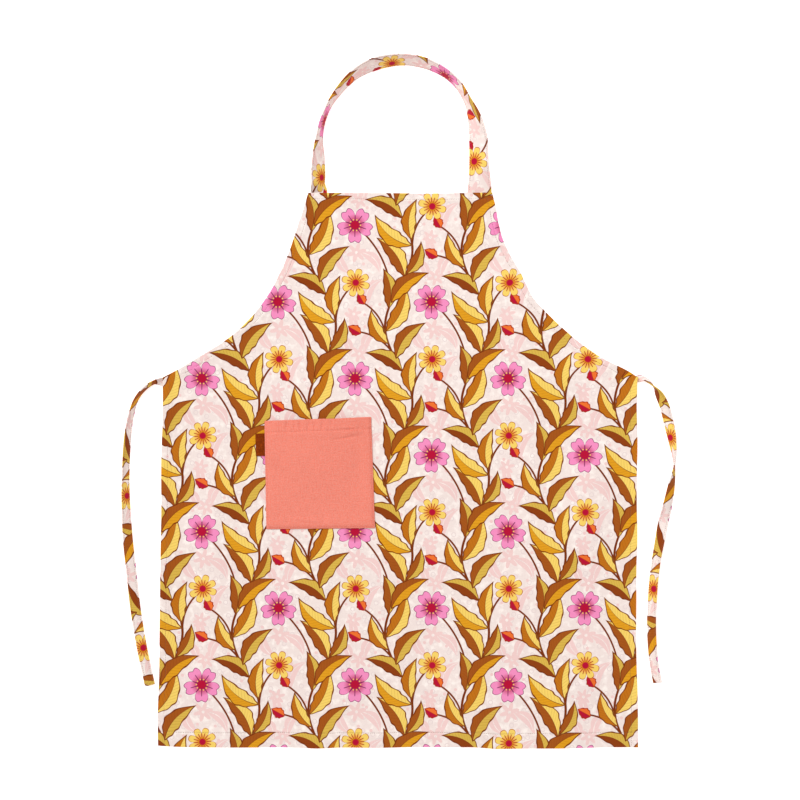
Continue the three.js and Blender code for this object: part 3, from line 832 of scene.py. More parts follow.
class BandForm:
    """A folded band that follows its stations with its lower edge on the floor.

    roots holds the shares of its width to which its first and its last end are gathered or spread.
    """

    def __init__(self, stations, width, thickness, inset, roots):
        self.roots = roots
        self.width = width
        self.thickness = thickness
        self.seam = width / 2 - inset
        x, y, tilt = smooth_path(np.array(stations, float), BAND_STEP).T
        tilt = np.radians(tilt)
        x, y = x * MM, y * MM
        along = np.gradient(np.stack((x, y, np.zeros_like(x)), axis=1), axis=0)
        along /= np.linalg.norm(along, axis=1)[:, None]
        right = np.stack((along[:, 1], -along[:, 0], along[:, 2]), axis=1)
        up = np.array((0.0, 0.0, 1.0))
        cos, sin = np.cos(tilt)[:, None], np.sin(tilt)[:, None]
        self.across = right * cos - up * sin
        self.face = right * sin + up * cos
        lift = width / 2 * np.abs(sin[:, 0]) + thickness / 2 * np.abs(cos[:, 0]) + BAND_GAP
        self.middle = np.stack((x, y, lift), axis=1)
        self.way = walked(self.middle)
        self.length = self.way[-1]

    def columns(self):
        """Places across the band, close together at its edges and its stitches."""
        half = self.width / 2
        inset = half - self.seam
        outer = np.concatenate(((0.0, BAND_EDGE_STEP), inset + BAND_SEAM_FLANKS))
        inner = np.linspace(outer[-1] + BAND_INNER_STEP, half, BAND_INNER_COLUMNS)
        left = np.concatenate((outer, inner[:-1])) - half
        return np.concatenate((left, (0.0,), -left[::-1]))

    def thickness_at(self, across, way):
        """Thickness over a band: thin at its stitches, soft at its edges and uneven along its way."""
        off_seam = np.abs(across) - self.seam
        groove = BAND_SEAM_THINNING * np.exp(-(off_seam / BAND_SEAM_WIDTH) ** 2)
        edge = BAND_EDGE_THINNING * (np.abs(across) / (self.width / 2)) ** BAND_EDGE_BEND
        wave_across, wave_along = BAND_UNEVEN_WAVES
        uneven = 1 + BAND_UNEVEN * ripple(across / wave_across, way / wave_along, 3.9)
        return self.thickness * (1 - groove - edge) * uneven

    def root_share(self, way):
        """Share of the band's width at places along it."""
        first, last = self.roots
        near_first = 1 - smoothstep(way, ROOT_START, ROOT_END)
        near_last = 1 - smoothstep(self.length - way, ROOT_START, ROOT_END)
        return 1 + (first - 1) * near_first + (last - 1) * near_last

    def at(self, across, way):
        """Points, face directions and half thickness at places across and along the band."""
        def along(rows):
            return np.stack([np.interp(way, self.way, rows[:, axis]) for axis in range(3)], axis=-1)
        face = along(self.face)
        wave_along, wave_across = BAND_SWAY_WAVES
        sway = BAND_SWAY * ripple(way / wave_along, across / wave_across, self.length * BAND_SWAY_SEED)
        spread = across * self.root_share(way)
        middle = along(self.middle) + along(self.across) * spread[..., None] + face * sway[..., None]
        return middle + LAYOUT_ORIGIN, face, self.thickness_at(across, way) / 2

    def grid(self):
        return np.meshgrid(self.columns(), self.way)


def body_form():
    return BodyForm(settings().body, settings().bands)


def pocket_form():
    return PocketForm(settings().pocket, body_form())


# Meshes

def new_mesh(name, add, **options):
    """Adds a mesh by one of Blender's operators, with nothing else selected, and names it."""
    bpy.ops.object.select_all(action="DESELECT")
    add(**options)
    piece = bpy.context.object
    piece.name = name
    piece.data.name = name
    return piece


def bevel(piece, chosen, radius, segments):
    """Rounds those edges of a piece that are chosen."""
    bpy.ops.object.mode_set(mode="EDIT")
    bpy.ops.mesh.select_mode(type="EDGE")
    bpy.ops.mesh.select_all(action="DESELECT")
    shell = bmesh.from_edit_mesh(piece.data)
    shell.faces.index_update()
    for edge in shell.edges:
        if chosen(edge):
            edge.select_set(True)
    bmesh.update_edit_mesh(piece.data)
    bpy.ops.mesh.bevel(offset=radius, segments=segments, affect="EDGES")
    bpy.ops.object.mode_set(mode="OBJECT")


def is_sharp(edge):
    return edge.calc_face_angle(0.0) > RIM_ANGLE


def cloth_sheet(name, points, flat, thickness, offset, rim, materials, turned=None):
    """A closed sheet of cloth through a grid of points, with its own thickness at each point.

    flat holds the cloth's flat pattern for the map, and turned says where the underside is a turned hem,
    which shows the cloth's right side again.
    """
    rows, columns = points.shape[:2]
    piece = new_mesh(name, bpy.ops.mesh.primitive_grid_add, x_subdivisions=columns - 1,
                     y_subdivisions=rows - 1, size=1.0)
    mesh = piece.data
    if len(mesh.vertices) != rows * columns:
        raise RuntimeError(f"{name}: the grid has {len(mesh.vertices)} points and not {rows * columns}")
    start = np.empty(rows * columns * 3)
    mesh.vertices.foreach_get("co", start)
    start = start.reshape(-1, 3)
    column = np.rint((start[:, 0] + 0.5) * (columns - 1)).astype(int)
    row = np.rint((start[:, 1] + 0.5) * (rows - 1)).astype(int)
    mesh.vertices.foreach_set("co", points[row, column].ravel())
    corner = np.empty(len(mesh.loops), int)
    mesh.loops.foreach_get("vertex_index", corner)
    pattern = mesh.uv_layers.active
    pattern.name = "pattern"
    pattern.data.foreach_set("uv", flat[row, column][corner].ravel())
    group = piece.vertex_groups.new(name="thickness")
    for index, share in enumerate(thickness[row, column] / thickness.max()):
        group.add([index], share, "REPLACE")
    for material in materials:
        mesh.materials.append(material)
    cloth = piece.modifiers.new("cloth", "SOLIDIFY")
    cloth.thickness = thickness.max()
    cloth.offset = offset
    cloth.vertex_group = group.name
    cloth.material_offset = len(materials) - 1
    faces = len(mesh.polygons)
    bpy.ops.object.modifier_apply(modifier=cloth.name)
    if turned is not None:
        on_hem = turned[row, column]
        for face in mesh.polygons[faces:2 * faces]:
            if all(on_hem[index - rows * columns] for index in face.vertices):
                face.material_index = 0

    def on_rim(edge):
        return is_sharp(edge) and any(face.index >= 2 * faces for face in edge.link_faces)

    bevel(piece, on_rim, rim, RIM_SEGMENTS)
    piece.vertex_groups.clear()
    bpy.ops.object.shade_smooth_by_angle(angle=SMOOTH_ANGLE)
    return piece


def stitches(name, starts, ends, normals, material):
    """One mesh of small spindle-shaped stitches between pairs of points, each lying on a face."""
    piece = new_mesh(name, bpy.ops.mesh.primitive_uv_sphere_add, segments=STITCH_SIDES,
                     ring_count=STITCH_RINGS, radius=1.0)
    mesh = piece.data
    spindle = np.array([vertex.co for vertex in mesh.vertices])
    faces = [tuple(face.vertices) for face in mesh.polygons]
    along = (ends - starts) * STITCH_SHARE / 2
    normals = normals / np.linalg.norm(normals, axis=1)[:, None]
    across = np.cross(normals, along)
    across *= THREAD / 2 / np.linalg.norm(across, axis=1)[:, None]
    up = normals * THREAD / 2 * STITCH_FLATNESS
    middle = (starts + ends) / 2 + normals * THREAD * STITCH_RISE
    points = (middle[:, None] + spindle[None, :, 0, None] * across[:, None]
              + spindle[None, :, 1, None] * up[:, None] + spindle[None, :, 2, None] * along[:, None])
    mesh.clear_geometry()
    count = len(spindle)
    copies = [tuple(index + copy * count for index in face) for copy in range(len(middle)) for face in faces]
    mesh.from_pydata(points.reshape(-1, 3), [], copies)
    mesh.materials.append(material)
    bpy.ops.object.shade_smooth()
    return piece


def sheet_stitches(name, form, material):
    """Stitches along a sheet's lines, on its upper face."""
    runs = [paced(line, STITCH_PITCH) for line in form.stitch_lines()]
    starts = np.concatenate([form.place(*run[:-1].T) for run in runs])
    ends = np.concatenate([form.place(*run[1:].T) for run in runs])
    normals = np.broadcast_to((0.0, 0.0, 1.0), starts.shape)
    return stitches(name, starts, ends, normals, material)


def band_stitches(name, form, start, end, tacked, material):
    """Stitches on both faces of a band, along its edges and, where it is tacked, across its end."""
    lines = [((side, start), (side, end)) for side in (-form.seam, form.seam)]
    if tacked:
        lines.append(((-form.seam, end), (form.seam, end)))
    runs = [paced(np.array(line), STITCH_PITCH) for line in lines]
    first = np.concatenate([run[:-1] for run in runs])
    last = np.concatenate([run[1:] for run in runs])
    starts, face, half = form.at(*first.T)
    ends, _, _ = form.at(*last.T)
    out = face * half[:, None]
    return stitches(name, np.concatenate((starts + out, starts - out)),
                    np.concatenate((ends + out, ends - out)), np.concatenate((face, -face)), material)


def hand_over(piece, slot, *nodes):
    """Lets a piece ride on the frame and stand for its CAD nodes, which it hides; its slot is not used."""
    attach(piece, "root")
    if nodes:
        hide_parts(*nodes)


# Shader nodes written as formulas

def maths(operation, swapped=False):
    """A method that joins a signal with other values in a Math node."""
    def method(self, *others):
        values = (*others, self) if swapped else (self, *others)
        return add_node(self.tree, "Math", 0, dict(enumerate(values)), operation=operation)
    return method


class Signal:
    """A socket of a node tree, so that a formula of nodes reads as a formula."""
    __add__ = __radd__ = maths("ADD")
    __sub__ = maths("SUBTRACT")
    __rsub__ = maths("SUBTRACT", swapped=True)
    __mul__ = __rmul__ = maths("MULTIPLY")
    __truediv__ = maths("DIVIDE")
    abs = maths("ABSOLUTE")
    floor = maths("FLOOR")
    fract = maths("FRACT")
    sin = maths("SINE")
    arctan2 = maths("ARCTAN2")
    power = maths("POWER")
    least = maths("MINIMUM")
    most = maths("MAXIMUM")

    def __init__(self, tree, socket):
        self.tree = tree
        self.socket = socket

    def ramp(self, low, high):
        """Rises from 0 at low to 1 at high, and stays there."""
        return add_node(self.tree, "MapRange", 0, {"Value": self, "From Min": low, "From Max": high})


def feed(tree, node, values):
    """Links signals to a node's inputs, by name or number, or sets these to plain values."""
    for socket, value in values.items():
        if isinstance(value, Signal):
            tree.links.new(value.socket, node.inputs[socket])
        else:
            node.inputs[socket].default_value = value


def add_node(tree, kind, output, values, **options):
    """Adds a shader node with its options and inputs, and gives one of its outputs."""
    node = tree.nodes.new("ShaderNode" + kind)
    for option, value in options.items():
        setattr(node, option, value)
    feed(tree, node, values)
    return Signal(tree, node.outputs[output])


def split(tree, vector):
    x = add_node(tree, "SeparateXYZ", 0, {0: vector})
    return x, Signal(tree, x.socket.node.outputs[1])


def combine(tree, x, y):
    return add_node(tree, "CombineXYZ", 0, {0: x, 1: y})


def shifted(tree, vector, x, y):
    """A flat point seen from a new origin."""
    return add_node(tree, "VectorMath", 0, {0: vector, 1: (x, y, 0.0)}, operation="SUBTRACT")


def scaled(tree, vector, scale):
    return add_node(tree, "VectorMath", 0, {0: vector, "Scale": scale}, operation="SCALE")


def mixed(tree, under, over, share):
    """The colour over laid on the colour under, as far as share says."""
    return add_node(tree, "Mix", 2, {"Factor": share, 6: under, 7: over}, data_type="RGBA")


def cloud(tree, point, scale, detail):
    """Soft noise from 0 to 1 over a flat point."""
    values = {"Vector": point, "Scale": scale, "Detail": detail}
    return add_node(tree, "TexNoise", 0, values, noise_dimensions="2D")


def scatter(tree, point, cell):
    """Distance from the nearest of many scattered spots, one in each cell of a flat grid."""
    values = {"Vector": point, "Scale": 1 / cell}
    return add_node(tree, "TexVoronoi", "Distance", values, voronoi_dimensions="2D") * cell


def new_group(name, inputs, outputs):
    """An empty node group with named sockets, and the signals of its inputs."""
    tree = bpy.data.node_groups.new(name, "ShaderNodeTree")
    for label, kind in inputs:
        tree.interface.new_socket(label, in_out="INPUT", socket_type="NodeSocket" + kind)
    for label, kind in outputs:
        tree.interface.new_socket(label, in_out="OUTPUT", socket_type="NodeSocket" + kind)
    source = tree.nodes.new("NodeGroupInput")
    return tree, {label: Signal(tree, source.outputs[label]) for label, _ in inputs}


def new_motif(name, numbers, colours):
    """An empty node group that lays a motif over a colour, and the signals of its inputs."""
    sockets = [("Under", "Color"), ("Place", "Vector")]
    sockets += [(label, "Float") for label in numbers]
    sockets += [(label, "Color") for label in colours]
    return new_group(name, sockets, [("Color", "Color")])


def close_group(tree, **results):
    feed(tree, tree.nodes.new("NodeGroupOutput"), results)
    return tree


def use_group(tree, maker, output, **values):
    """Places a node group in a tree, made by its maker the first time, and gives one of its outputs."""
    group = bpy.data.node_groups.get(maker.__name__) or maker(maker.__name__)
    return add_node(tree, "Group", output, values, node_tree=group)


# The print

def half_drop(name):
    """A point's place in the repeat whose middle is nearest, with every other column dropped by half."""
    tree, given = new_group(name, [("Point", "Vector"), ("Column", "Float"), ("Repeat", "Float")],
                            [("Place", "Vector")])
    x, y = split(tree, given["Point"])
    column = (x / given["Column"] + 0.5).floor()
    fallen = y - column * given["Repeat"] * 0.5
    turn = (fallen / given["Repeat"] + 0.5).floor()
    place = combine(tree, x - column * given["Column"], fallen - turn * given["Repeat"])
    return close_group(tree, Place=place)


def leaf_lines(tree, given):
    """Share of the way along a leaf, distance off its bent rib, and half its width."""
    x, y = split(tree, given["Place"])
    share = x / given["Length"] + 0.5
    hump = (share * (1.0 - share) * 4.0).most(0.0)
    half_width = given["Width"] * 0.5 * hump * (LEAF_BASE - share * LEAF_TAPER)
    return share, y - given["Curl"] * hump, half_width


def printed_leaf(name):
    """A serrated leaf in two tones, with a bent rib, veins and an outline."""
    tree, given = new_motif(name, ("Length", "Width", "Curl"), ("Near", "Far", "Line"))
    share, off_rib, half_width = leaf_lines(tree, given)
    lobes = (share * LOBE_WAVES + off_rib.abs() * LOBE_SLANT).sin() * LOBE_DEPTH + 1.0
    inside = half_width * lobes - off_rib.abs() - PRINT_EDGE
    leaf = inside.ramp(-PRINT_EDGE, PRINT_EDGE)
    colour = mixed(tree, given["Under"], given["Near"], leaf)
    colour = mixed(tree, colour, given["Far"], leaf.least(off_rib.ramp(-PRINT_EDGE, PRINT_EDGE)))
    vein = ((share * VEIN_COUNT - off_rib.abs() / given["Width"] * VEIN_SLANT).fract() - 0.5).abs()
    vein = vein.ramp(*VEIN_SIDE) * VEIN_STRENGTH * inside.ramp(*VEIN_END)
    colour = mixed(tree, colour, given["Line"], vein)
    rib = off_rib.abs() - (1.0 - share) * RIB_HALF_WIDTH
    outline = inside.ramp(PRINT_OUTLINE + PRINT_EDGE, PRINT_OUTLINE - PRINT_EDGE)
    line = outline.most(rib.ramp(PRINT_EDGE, -PRINT_EDGE)).least(leaf)
    return close_group(tree, Color=mixed(tree, colour, given["Line"], line))


def printed_blossom(name):
    """An open flower: petals with notched tips, a shaded throat, streaks, a ring of pollen and an eye."""
    tree, given = new_motif(name, ("Radius", "Petals", "Gap", "Notch"),
                            ("Petal", "Throat", "Line", "Eye", "Pollen"))
    x, y = split(tree, given["Place"])
    reach = (x * x + y * y).power(0.5)
    angle = y.arctan2(x) * (1 / (2 * math.pi))
    aside = ((angle * given["Petals"]).fract() * 2.0 - 1.0).abs()
    rim = 1.0 - given["Gap"] * aside.power(3.0) - given["Notch"] * aside.ramp(*NOTCH_EDGE)
    inside = given["Radius"] * rim - reach
    flower = inside.ramp(-PRINT_EDGE, PRINT_EDGE)
    share = reach / given["Radius"]
    colour = mixed(tree, given["Under"], given["Petal"], flower)
    colour = mixed(tree, colour, given["Throat"], flower * share.ramp(*THROAT_EDGE))
    wide = reach * math.pi / given["Petals"]
    streak = (aside * wide).ramp(*STREAK_SIDE) * share.ramp(*STREAK_END)
    parting = ((1.0 - aside) * wide).ramp(*PARTING_SIDE)
    line = flower * streak.most(parting).most(inside.ramp(*PETAL_OUTLINE))
    colour = mixed(tree, colour, given["Line"], line)
    off_ring = reach - given["Radius"] * POLLEN_RING
    along_ring = ((angle * given["Petals"] * 2.0).fract() - 0.5).abs() * wide
    pollen = (along_ring * along_ring + off_ring * off_ring).power(0.5)
    colour = mixed(tree, colour, given["Pollen"], pollen.ramp(*POLLEN_EDGE))
    return close_group(tree, Color=mixed(tree, colour, given["Eye"], share.ramp(*EYE_EDGE)))


def shadow_leaf(name):
    """A pale leaf in one tone, with its rib left open."""
    tree, given = new_motif(name, ("Length", "Width", "Curl"), ("Tone",))
    _, off_rib, half_width = leaf_lines(tree, given)
    inside = half_width - off_rib.abs()
    leaf = inside.ramp(0.0, 2 * PRINT_EDGE).least(off_rib.abs().ramp(*SHADOW_RIB))
    return close_group(tree, Color=mixed(tree, given["Under"], given["Tone"], leaf))


def shadow_flower(name):
    """A pale flower in one tone, with its eye left open."""
    tree, given = new_motif(name, ("Radius", "Petals"), ("Tone",))
    x, y = split(tree, given["Place"])
    reach = (x * x + y * y).power(0.5)
    lobe = (y.arctan2(x) * given["Petals"]).sin()
    inside = given["Radius"] * (lobe * SHADOW_LOBE + (1 - SHADOW_LOBE)) - reach
    flower = inside.ramp(0.0, 2 * PRINT_EDGE).least(reach.ramp(*SHADOW_EYE))
    return close_group(tree, Color=mixed(tree, given["Under"], given["Tone"], flower))


def printed_stem(name):
    """A thin bent stem."""
    tree, given = new_motif(name, ("Length", "Curl", "Thickness"), ("Line",))
    x, y = split(tree, given["Place"])
    share = x / given["Length"] + 0.5
    hump = share * (1.0 - share) * 4.0
    off = (y - given["Curl"] * hump).abs() - given["Thickness"] * 0.5
    line = off.ramp(PRINT_EDGE, -PRINT_EDGE).least(hump.ramp(-STEM_END, STEM_END))
    return close_group(tree, Color=mixed(tree, given["Under"], given["Line"], line))


def printed_vine(name):
    """The vine that sways up a column of the repeat."""
    tree, given = new_motif(name, ("Sway", "Repeat", "Thickness"), ("Line",))
    x, y = split(tree, given["Place"])
    swayed = x - given["Sway"] * (y / given["Repeat"] * (2 * math.pi)).sin()
    line = (swayed.abs() * VINE_SLOPE - given["Thickness"] * 0.5).ramp(PRINT_EDGE, -PRINT_EDGE)
    return close_group(tree, Color=mixed(tree, given["Under"], given["Line"], line))


def vine_at(side, height):
    """Where the right or the left vine of the lens stands at a height."""
    sway = PRINT_SWAY * math.sin(2 * math.pi * height / PRINT_REPEAT)
    return sway if side == "right" else -PRINT_COLUMN - sway


def motif_place(tree, frames, x, y, turn):
    """A point's place round a motif, taken from the frame of the repeat whose middle is nearest to it."""
    def off_middle(frame_middle):
        column = round((x - frame_middle[0]) / PRINT_COLUMN)
        off_x = x - frame_middle[0] - column * PRINT_COLUMN
        off_y = y - frame_middle[1] - column * PRINT_REPEAT / 2
        off_y -= PRINT_REPEAT * round(off_y / PRINT_REPEAT)
        return off_x, off_y

    def reach(frame_middle):
        off_x, off_y = off_middle(frame_middle)
        return max(abs(off_x) / PRINT_COLUMN, abs(off_y) / PRINT_REPEAT)

    nearest = min(frames, key=reach)
    values = {"Vector": shifted(tree, frames[nearest], *off_middle(nearest)), "Angle": -math.radians(turn)}
    return add_node(tree, "VectorRotate", 0, values, rotation_type="Z_AXIS")


def floral_print(name):
    """The whole print over a flat point in millimetres, from the ground up to the flowers."""
    inks = settings().inks
    tree, given = new_group(name, [("Point", "Vector")], [("Color", "Color")])
    point = given["Point"]
    frames = {}
    half_column, half_repeat = PRINT_COLUMN / 2, PRINT_REPEAT / 2
    for middle in ((0, 0), (0, half_repeat), (half_column, 0), (half_column, half_repeat)):
        frames[middle] = use_group(tree, half_drop, "Place", Point=shifted(tree, point, *middle),
                                   Column=PRINT_COLUMN, Repeat=PRINT_REPEAT)

    def motif(maker, under, x, y, turn, **looks):
        place = motif_place(tree, frames, x, y, turn)
        return use_group(tree, maker, "Color", Under=under, Place=place, **looks)

    patch = cloud(tree, point, 1 / PATCH_SIZE, 3.0).ramp(0.47, 0.74)
    ring = (scatter(tree, point, RING_CELL) - RING_RADIUS).abs()
    ring = ring.ramp(RING_HALF_WIDTH + MARK_EDGE, RING_HALF_WIDTH - MARK_EDGE)
    dot = scatter(tree, point, DOT_CELL).ramp(DOT_RADIUS + MARK_EDGE, DOT_RADIUS - MARK_EDGE)
    colour = mixed(tree, inks.ground, inks.cream, patch)
    colour = mixed(tree, colour, inks.mist, ring)
    colour = mixed(tree, colour, inks.blush, dot)
    for x, y, turn, length, width, curl in PRINT_SHADOW_LEAVES:
        colour = motif(shadow_leaf, colour, x, y, turn, Length=length, Width=width, Curl=curl,
                       Tone=inks.blush)
    for x, y, radius, petals in PRINT_SHADOW_FLOWERS:
        colour = motif(shadow_flower, colour, x, y, 0.0, Radius=radius, Petals=petals, Tone=inks.blush)
    colour = use_group(tree, printed_vine, "Color", Under=colour, Place=frames[(0, 0)], Sway=PRINT_SWAY,
                       Repeat=PRINT_REPEAT, Thickness=PRINT_VINE, Line=inks.umber)
    for x0, y0, x1, y1, curl in PRINT_STEMS:
        turn = math.degrees(math.atan2(y1 - y0, x1 - x0))
        colour = motif(printed_stem, colour, (x0 + x1) / 2, (y0 + y1) / 2, turn, Curl=curl,
                       Length=math.hypot(x1 - x0, y1 - y0), Thickness=PRINT_STEM, Line=inks.umber)
    for x, y, turn, length, width in PRINT_BUDS:
        colour = motif(printed_leaf, colour, x, y, turn, Length=length, Width=width, Curl=0.0,
                       Near=inks.orange, Far=inks.crimson, Line=inks.rust)
    for side, height, turn, length, width, curl, near, far in PRINT_LEAVES:
        x = vine_at(side, height) + length / 2 * math.cos(math.radians(turn))
        y = height + length / 2 * math.sin(math.radians(turn))
        colour = motif(printed_leaf, colour, x, y, turn, Length=length, Width=width, Curl=curl,
                       Near=getattr(inks, near), Far=getattr(inks, far), Line=inks.umber)
    for x, y, radius, petals, gap, notch, turn, petal, throat, line, pollen in PRINT_FLOWERS:
        colour = motif(printed_blossom, colour, x, y, turn, Radius=radius, Petals=petals, Gap=gap,
                       Notch=notch, Petal=getattr(inks, petal), Throat=getattr(inks, throat),
                       Line=getattr(inks, line), Eye=inks.crimson, Pollen=getattr(inks, pollen))
    return close_group(tree, Color=colour)


# Finishes

def plain_weave(name):
    """Threads of a plain weave over a flat point in millimetres: their relief and their tone round 1."""
    tree, given = new_group(name, [("Point", "Vector"), ("Pitch", "Float"), ("Slub", "Float")],
                            [("Height", "Float"), ("Tone", "Float")])
    x, y = split(tree, given["Point"])
    crossing = (x / given["Pitch"] * math.pi).sin() * (y / given["Pitch"] * math.pi).sin()
    weft = cloud(tree, combine(tree, x * SLUB_ALONG, y * SLUB_ACROSS), 1.0, 2.0)
    warp = cloud(tree, combine(tree, x * SLUB_ACROSS, y * SLUB_ALONG), 1.0, 2.0)
    patch = (cloud(tree, given["Point"], TONE_PATCH, 2.0) - 0.5) * TONE_PATCH_STRENGTH
    uneven = weft + warp - 1.0
    tone = uneven * given["Slub"] + patch + crossing.abs() * CROSSING_TONE + CROSSING_BASE
    return close_group(tree, Height=crossing * crossing + uneven * SLUB_RELIEF, Tone=tone)


def new_material(name):
    """An empty material with its node tree and its Principled shader."""
    material = bpy.data.materials.new(name)
    material.use_nodes = True
    return material, material.node_tree, material.node_tree.nodes["Principled BSDF"]


def bumped(tree, height, strength, depth):
    return add_node(tree, "Bump", 0, {"Strength": strength, "Distance": depth, "Height": height})


def toned(colour, share):
    """A colour made darker or lighter by a share."""
    return tuple(min(1.0, part * share) for part in colour[:3]) + (1.0,)


def cotton(name, dye, pitch, slub):
    """Matte woven cotton whose dye is a function of its tree and its flat point in millimetres."""
    found = bpy.data.materials.get(name)
    if found:
        return found
    material, tree, shader = new_material(name)
    point = scaled(tree, add_node(tree, "UVMap", 0, {}, uv_map="pattern"), 1 / MM)
    height = use_group(tree, plain_weave, "Height", Point=point, Pitch=pitch, Slub=slub)
    tone = Signal(tree, height.socket.node.outputs["Tone"])
    feed(tree, shader, {
        "Base Color": scaled(tree, dye(tree, point), tone),
        "Roughness": 1.72 - tone * 0.85,
        "Specular IOR Level": 0.12,
        "Sheen Weight": 0.04,
        "Sheen Roughness": 0.5,
        "Normal": bumped(tree, height, 0.35, WEAVE_DEPTH),
    })
    return material


def floral_face():
    """The right side of the printed cloth."""
    def dye(tree, point):
        return use_group(tree, floral_print, "Color", Point=point)
    return cotton("floral_face", dye, *PRINTED_WEAVE)


def floral_reverse():
    """The wrong side of the printed cloth, where the print only shows through."""
    def dye(tree, point):
        right_side = use_group(tree, floral_print, "Color", Point=point)
        return mixed(tree, right_side, settings().inks.ground, REVERSE_FADE)
    return cotton("floral_reverse", dye, *PRINTED_WEAVE)


def coral_face():
    """Cloth dyed in one colour, a little mottled."""
    def dye(tree, point):
        inks = settings().inks
        faded = tuple((share + pale) / 2 for share, pale in zip(inks.coral, inks.ground))
        mottle = cloud(tree, point, CORAL_MOTTLE, 2.0).ramp(0.32, 0.68)
        return mixed(tree, inks.coral, faded, mottle * CORAL_MOTTLE_STRENGTH)
    return cotton("coral_face", dye, *CORAL_WEAVE)


def sewing_thread(name, colour):
    """Twisted cotton thread."""
    found = bpy.data.materials.get(name)
    if found:
        return found
    material, tree, shader = new_material(name)
    point = add_node(tree, "TexCoord", "Object", {})
    twist = add_node(tree, "TexNoise", 0, {"Vector": point, "Scale": THREAD_TWIST})
    feed(tree, shader, {
        "Base Color": mixed(tree, toned(colour, 0.8), tuple(colour), twist.ramp(0.3, 0.6)),
        "Roughness": 0.75,
        "Normal": bumped(tree, twist, 0.4, THREAD_DEPTH),
    })
    return material


def tab_leather():
    """Matte brown leather with a fine grain, darker in its creases."""
    material, tree, shader = new_material("tab_leather")
    point = add_node(tree, "TexCoord", "Object", {})
    grain = add_node(tree, "TexVoronoi", "Distance", {"Vector": point, "Scale": LEATHER_GRAIN},
                     feature="DISTANCE_TO_EDGE")
    patch = add_node(tree, "TexNoise", 0, {"Vector": point, "Scale": LEATHER_PATCH, "Detail": 3.0})
    pebble = grain.ramp(0.0, 0.16)
    brown = tuple(settings().inks.tab)
    colour = mixed(tree, brown, toned(brown, 1.6), patch.ramp(0.42, 0.66))
    feed(tree, shader, {
        "Base Color": mixed(tree, toned(brown, 0.55), colour, pebble * 0.5 + 0.5),
        "Roughness": 0.86 - pebble * 0.12,
        "Specular IOR Level": 0.05,
        "Normal": bumped(tree, pebble, 0.5, LEATHER_DEPTH),
    })
    return material


def pale_floor():
    """A matte floor that glows a little."""
    material, tree, shader = new_material("pale_floor")
    stage = settings().stage
    feed(tree, shader, {
        "Base Color": stage.floor,
        "Emission Color": stage.floor_tint,
        "Emission Strength": stage.floor_glow,
        "Roughness": 0.9,
        "Specular IOR Level": 0.1,
    })
    return material


# Operators

class APRON_OT_stage(Operator):
    """Lay the pale floor, hang the soft lights and set the camera straight above"""
    bl_idname = "apron.stage"
    bl_label = "Stage"

    def execute(self, context):
        stage = settings().stage
        scene = context.scene
        floor = new_mesh("floor", bpy.ops.mesh.primitive_plane_add, size=FLOOR_WIDTH)
        floor.data.materials.append(pale_floor())
        world = bpy.data.worlds.new("studio")
        world.use_nodes = True
        feed(world.node_tree, world.node_tree.nodes["Background"], {
            "Color": stage.sky_tint,
            "Strength": stage.sky,
        })
        scene.world = world
        key = self.light("key_light", "SUN", KEY_PLACE, stage.key)
        key.angle = stage.key_softness
        fill = self.light("fill_light", "AREA", FILL_PLACE, stage.fill)
        fill.size = stage.fill_width
        bpy.ops.object.camera_add(rotation=(0.0, 0.0, 0.0))
        camera = context.object
        camera.name = "camera"
        camera.data.lens = stage.lens
        height = stage.lens / camera.data.sensor_width * stage.view_width
        camera.location = (stage.view_x, stage.view_y, height)
        scene.camera = camera
        scene.view_settings.view_transform = "Standard"
        return {"FINISHED"}

    @staticmethod
    def light(name, kind, place, energy):
        """A light that looks from its place at the middle of the apron."""
        aim = (-Vector(place)).to_track_quat("-Z", "Y").to_euler()
        bpy.ops.object.light_add(type=kind, location=place, rotation=aim)
        bpy.context.object.name = name
        lamp = bpy.context.object.data
        lamp.energy = energy
        lamp.color = settings().stage.key_tint[:3]
        return lamp


class APRON_OT_body(Operator):
    """Lay the body, hemmed all round to the back, and sew its hems"""
    bl_idname = "apron.body"
    bl_label = "Body"

    def execute(self, context):
        form = body_form()
        x, y = form.grid()
        in_hem = form.in_hem(x, y)
        body = cloth_sheet("apron_body", form.place(x, y), np.stack((x, y), axis=-1),
                           np.where(in_hem, form.hem, form.cut.cloth), -1.0, CLOTH_RIM,
                           [floral_face(), floral_reverse()], in_hem)
        hand_over(body, "printed_cotton", "body")
        # The hem stitches are dark, with painted shade of the hem grooves in their thread colour.
        hems = sheet_stitches("hem_stitches", form, sewing_thread("thread_and_seam_shade", settings().inks.thread))
        hand_over(hems, "printed_cotton")
        return {"FINISHED"}


def make_band(node, stations, width, roots, pattern, crosswise, seam, tacked):
    """A folded band of printed cloth with its stitches, cut up or across the print from a place in it.

    seam holds how far from the band's first and its last end the stitches along its edges stop.
    """
    bands = settings().bands
    form = BandForm(stations, width, bands.thickness, bands.stitch_inset, roots)
    across, way = form.grid()
    points, _, half = form.at(across, way)
    flat = np.stack((way, across) if crosswise else (across, way), axis=-1) + pattern
    band = cloth_sheet("apron_" + node, points, flat, half * 2, 0.0, CLOTH_RIM, [floral_face()])
    hand_over(band, "printed_cotton", node)
    # The band stitches are dark, with painted shade of their seam grooves in their thread colour.
    thread = sewing_thread("thread_and_seam_shade", settings().inks.thread)
    seams = band_stitches(node + "_stitches", form, seam[0], form.length - seam[1], tacked, thread)
    hand_over(seams, "printed_cotton")


class APRON_OT_neck_strap(Operator):
    """Lay the neck strap, whose ends are sewn behind the bib"""
    bl_idname = "apron.neck_strap"
    bl_label = "Neck Strap"

    def execute(self, context):
        make_band("neck_strap", NECK_STATIONS, settings().bands.neck_width, NECK_ROOTS, NECK_PATTERN,
                  crosswise=False, seam=NECK_SEAM, tacked=False)
        return {"FINISHED"}


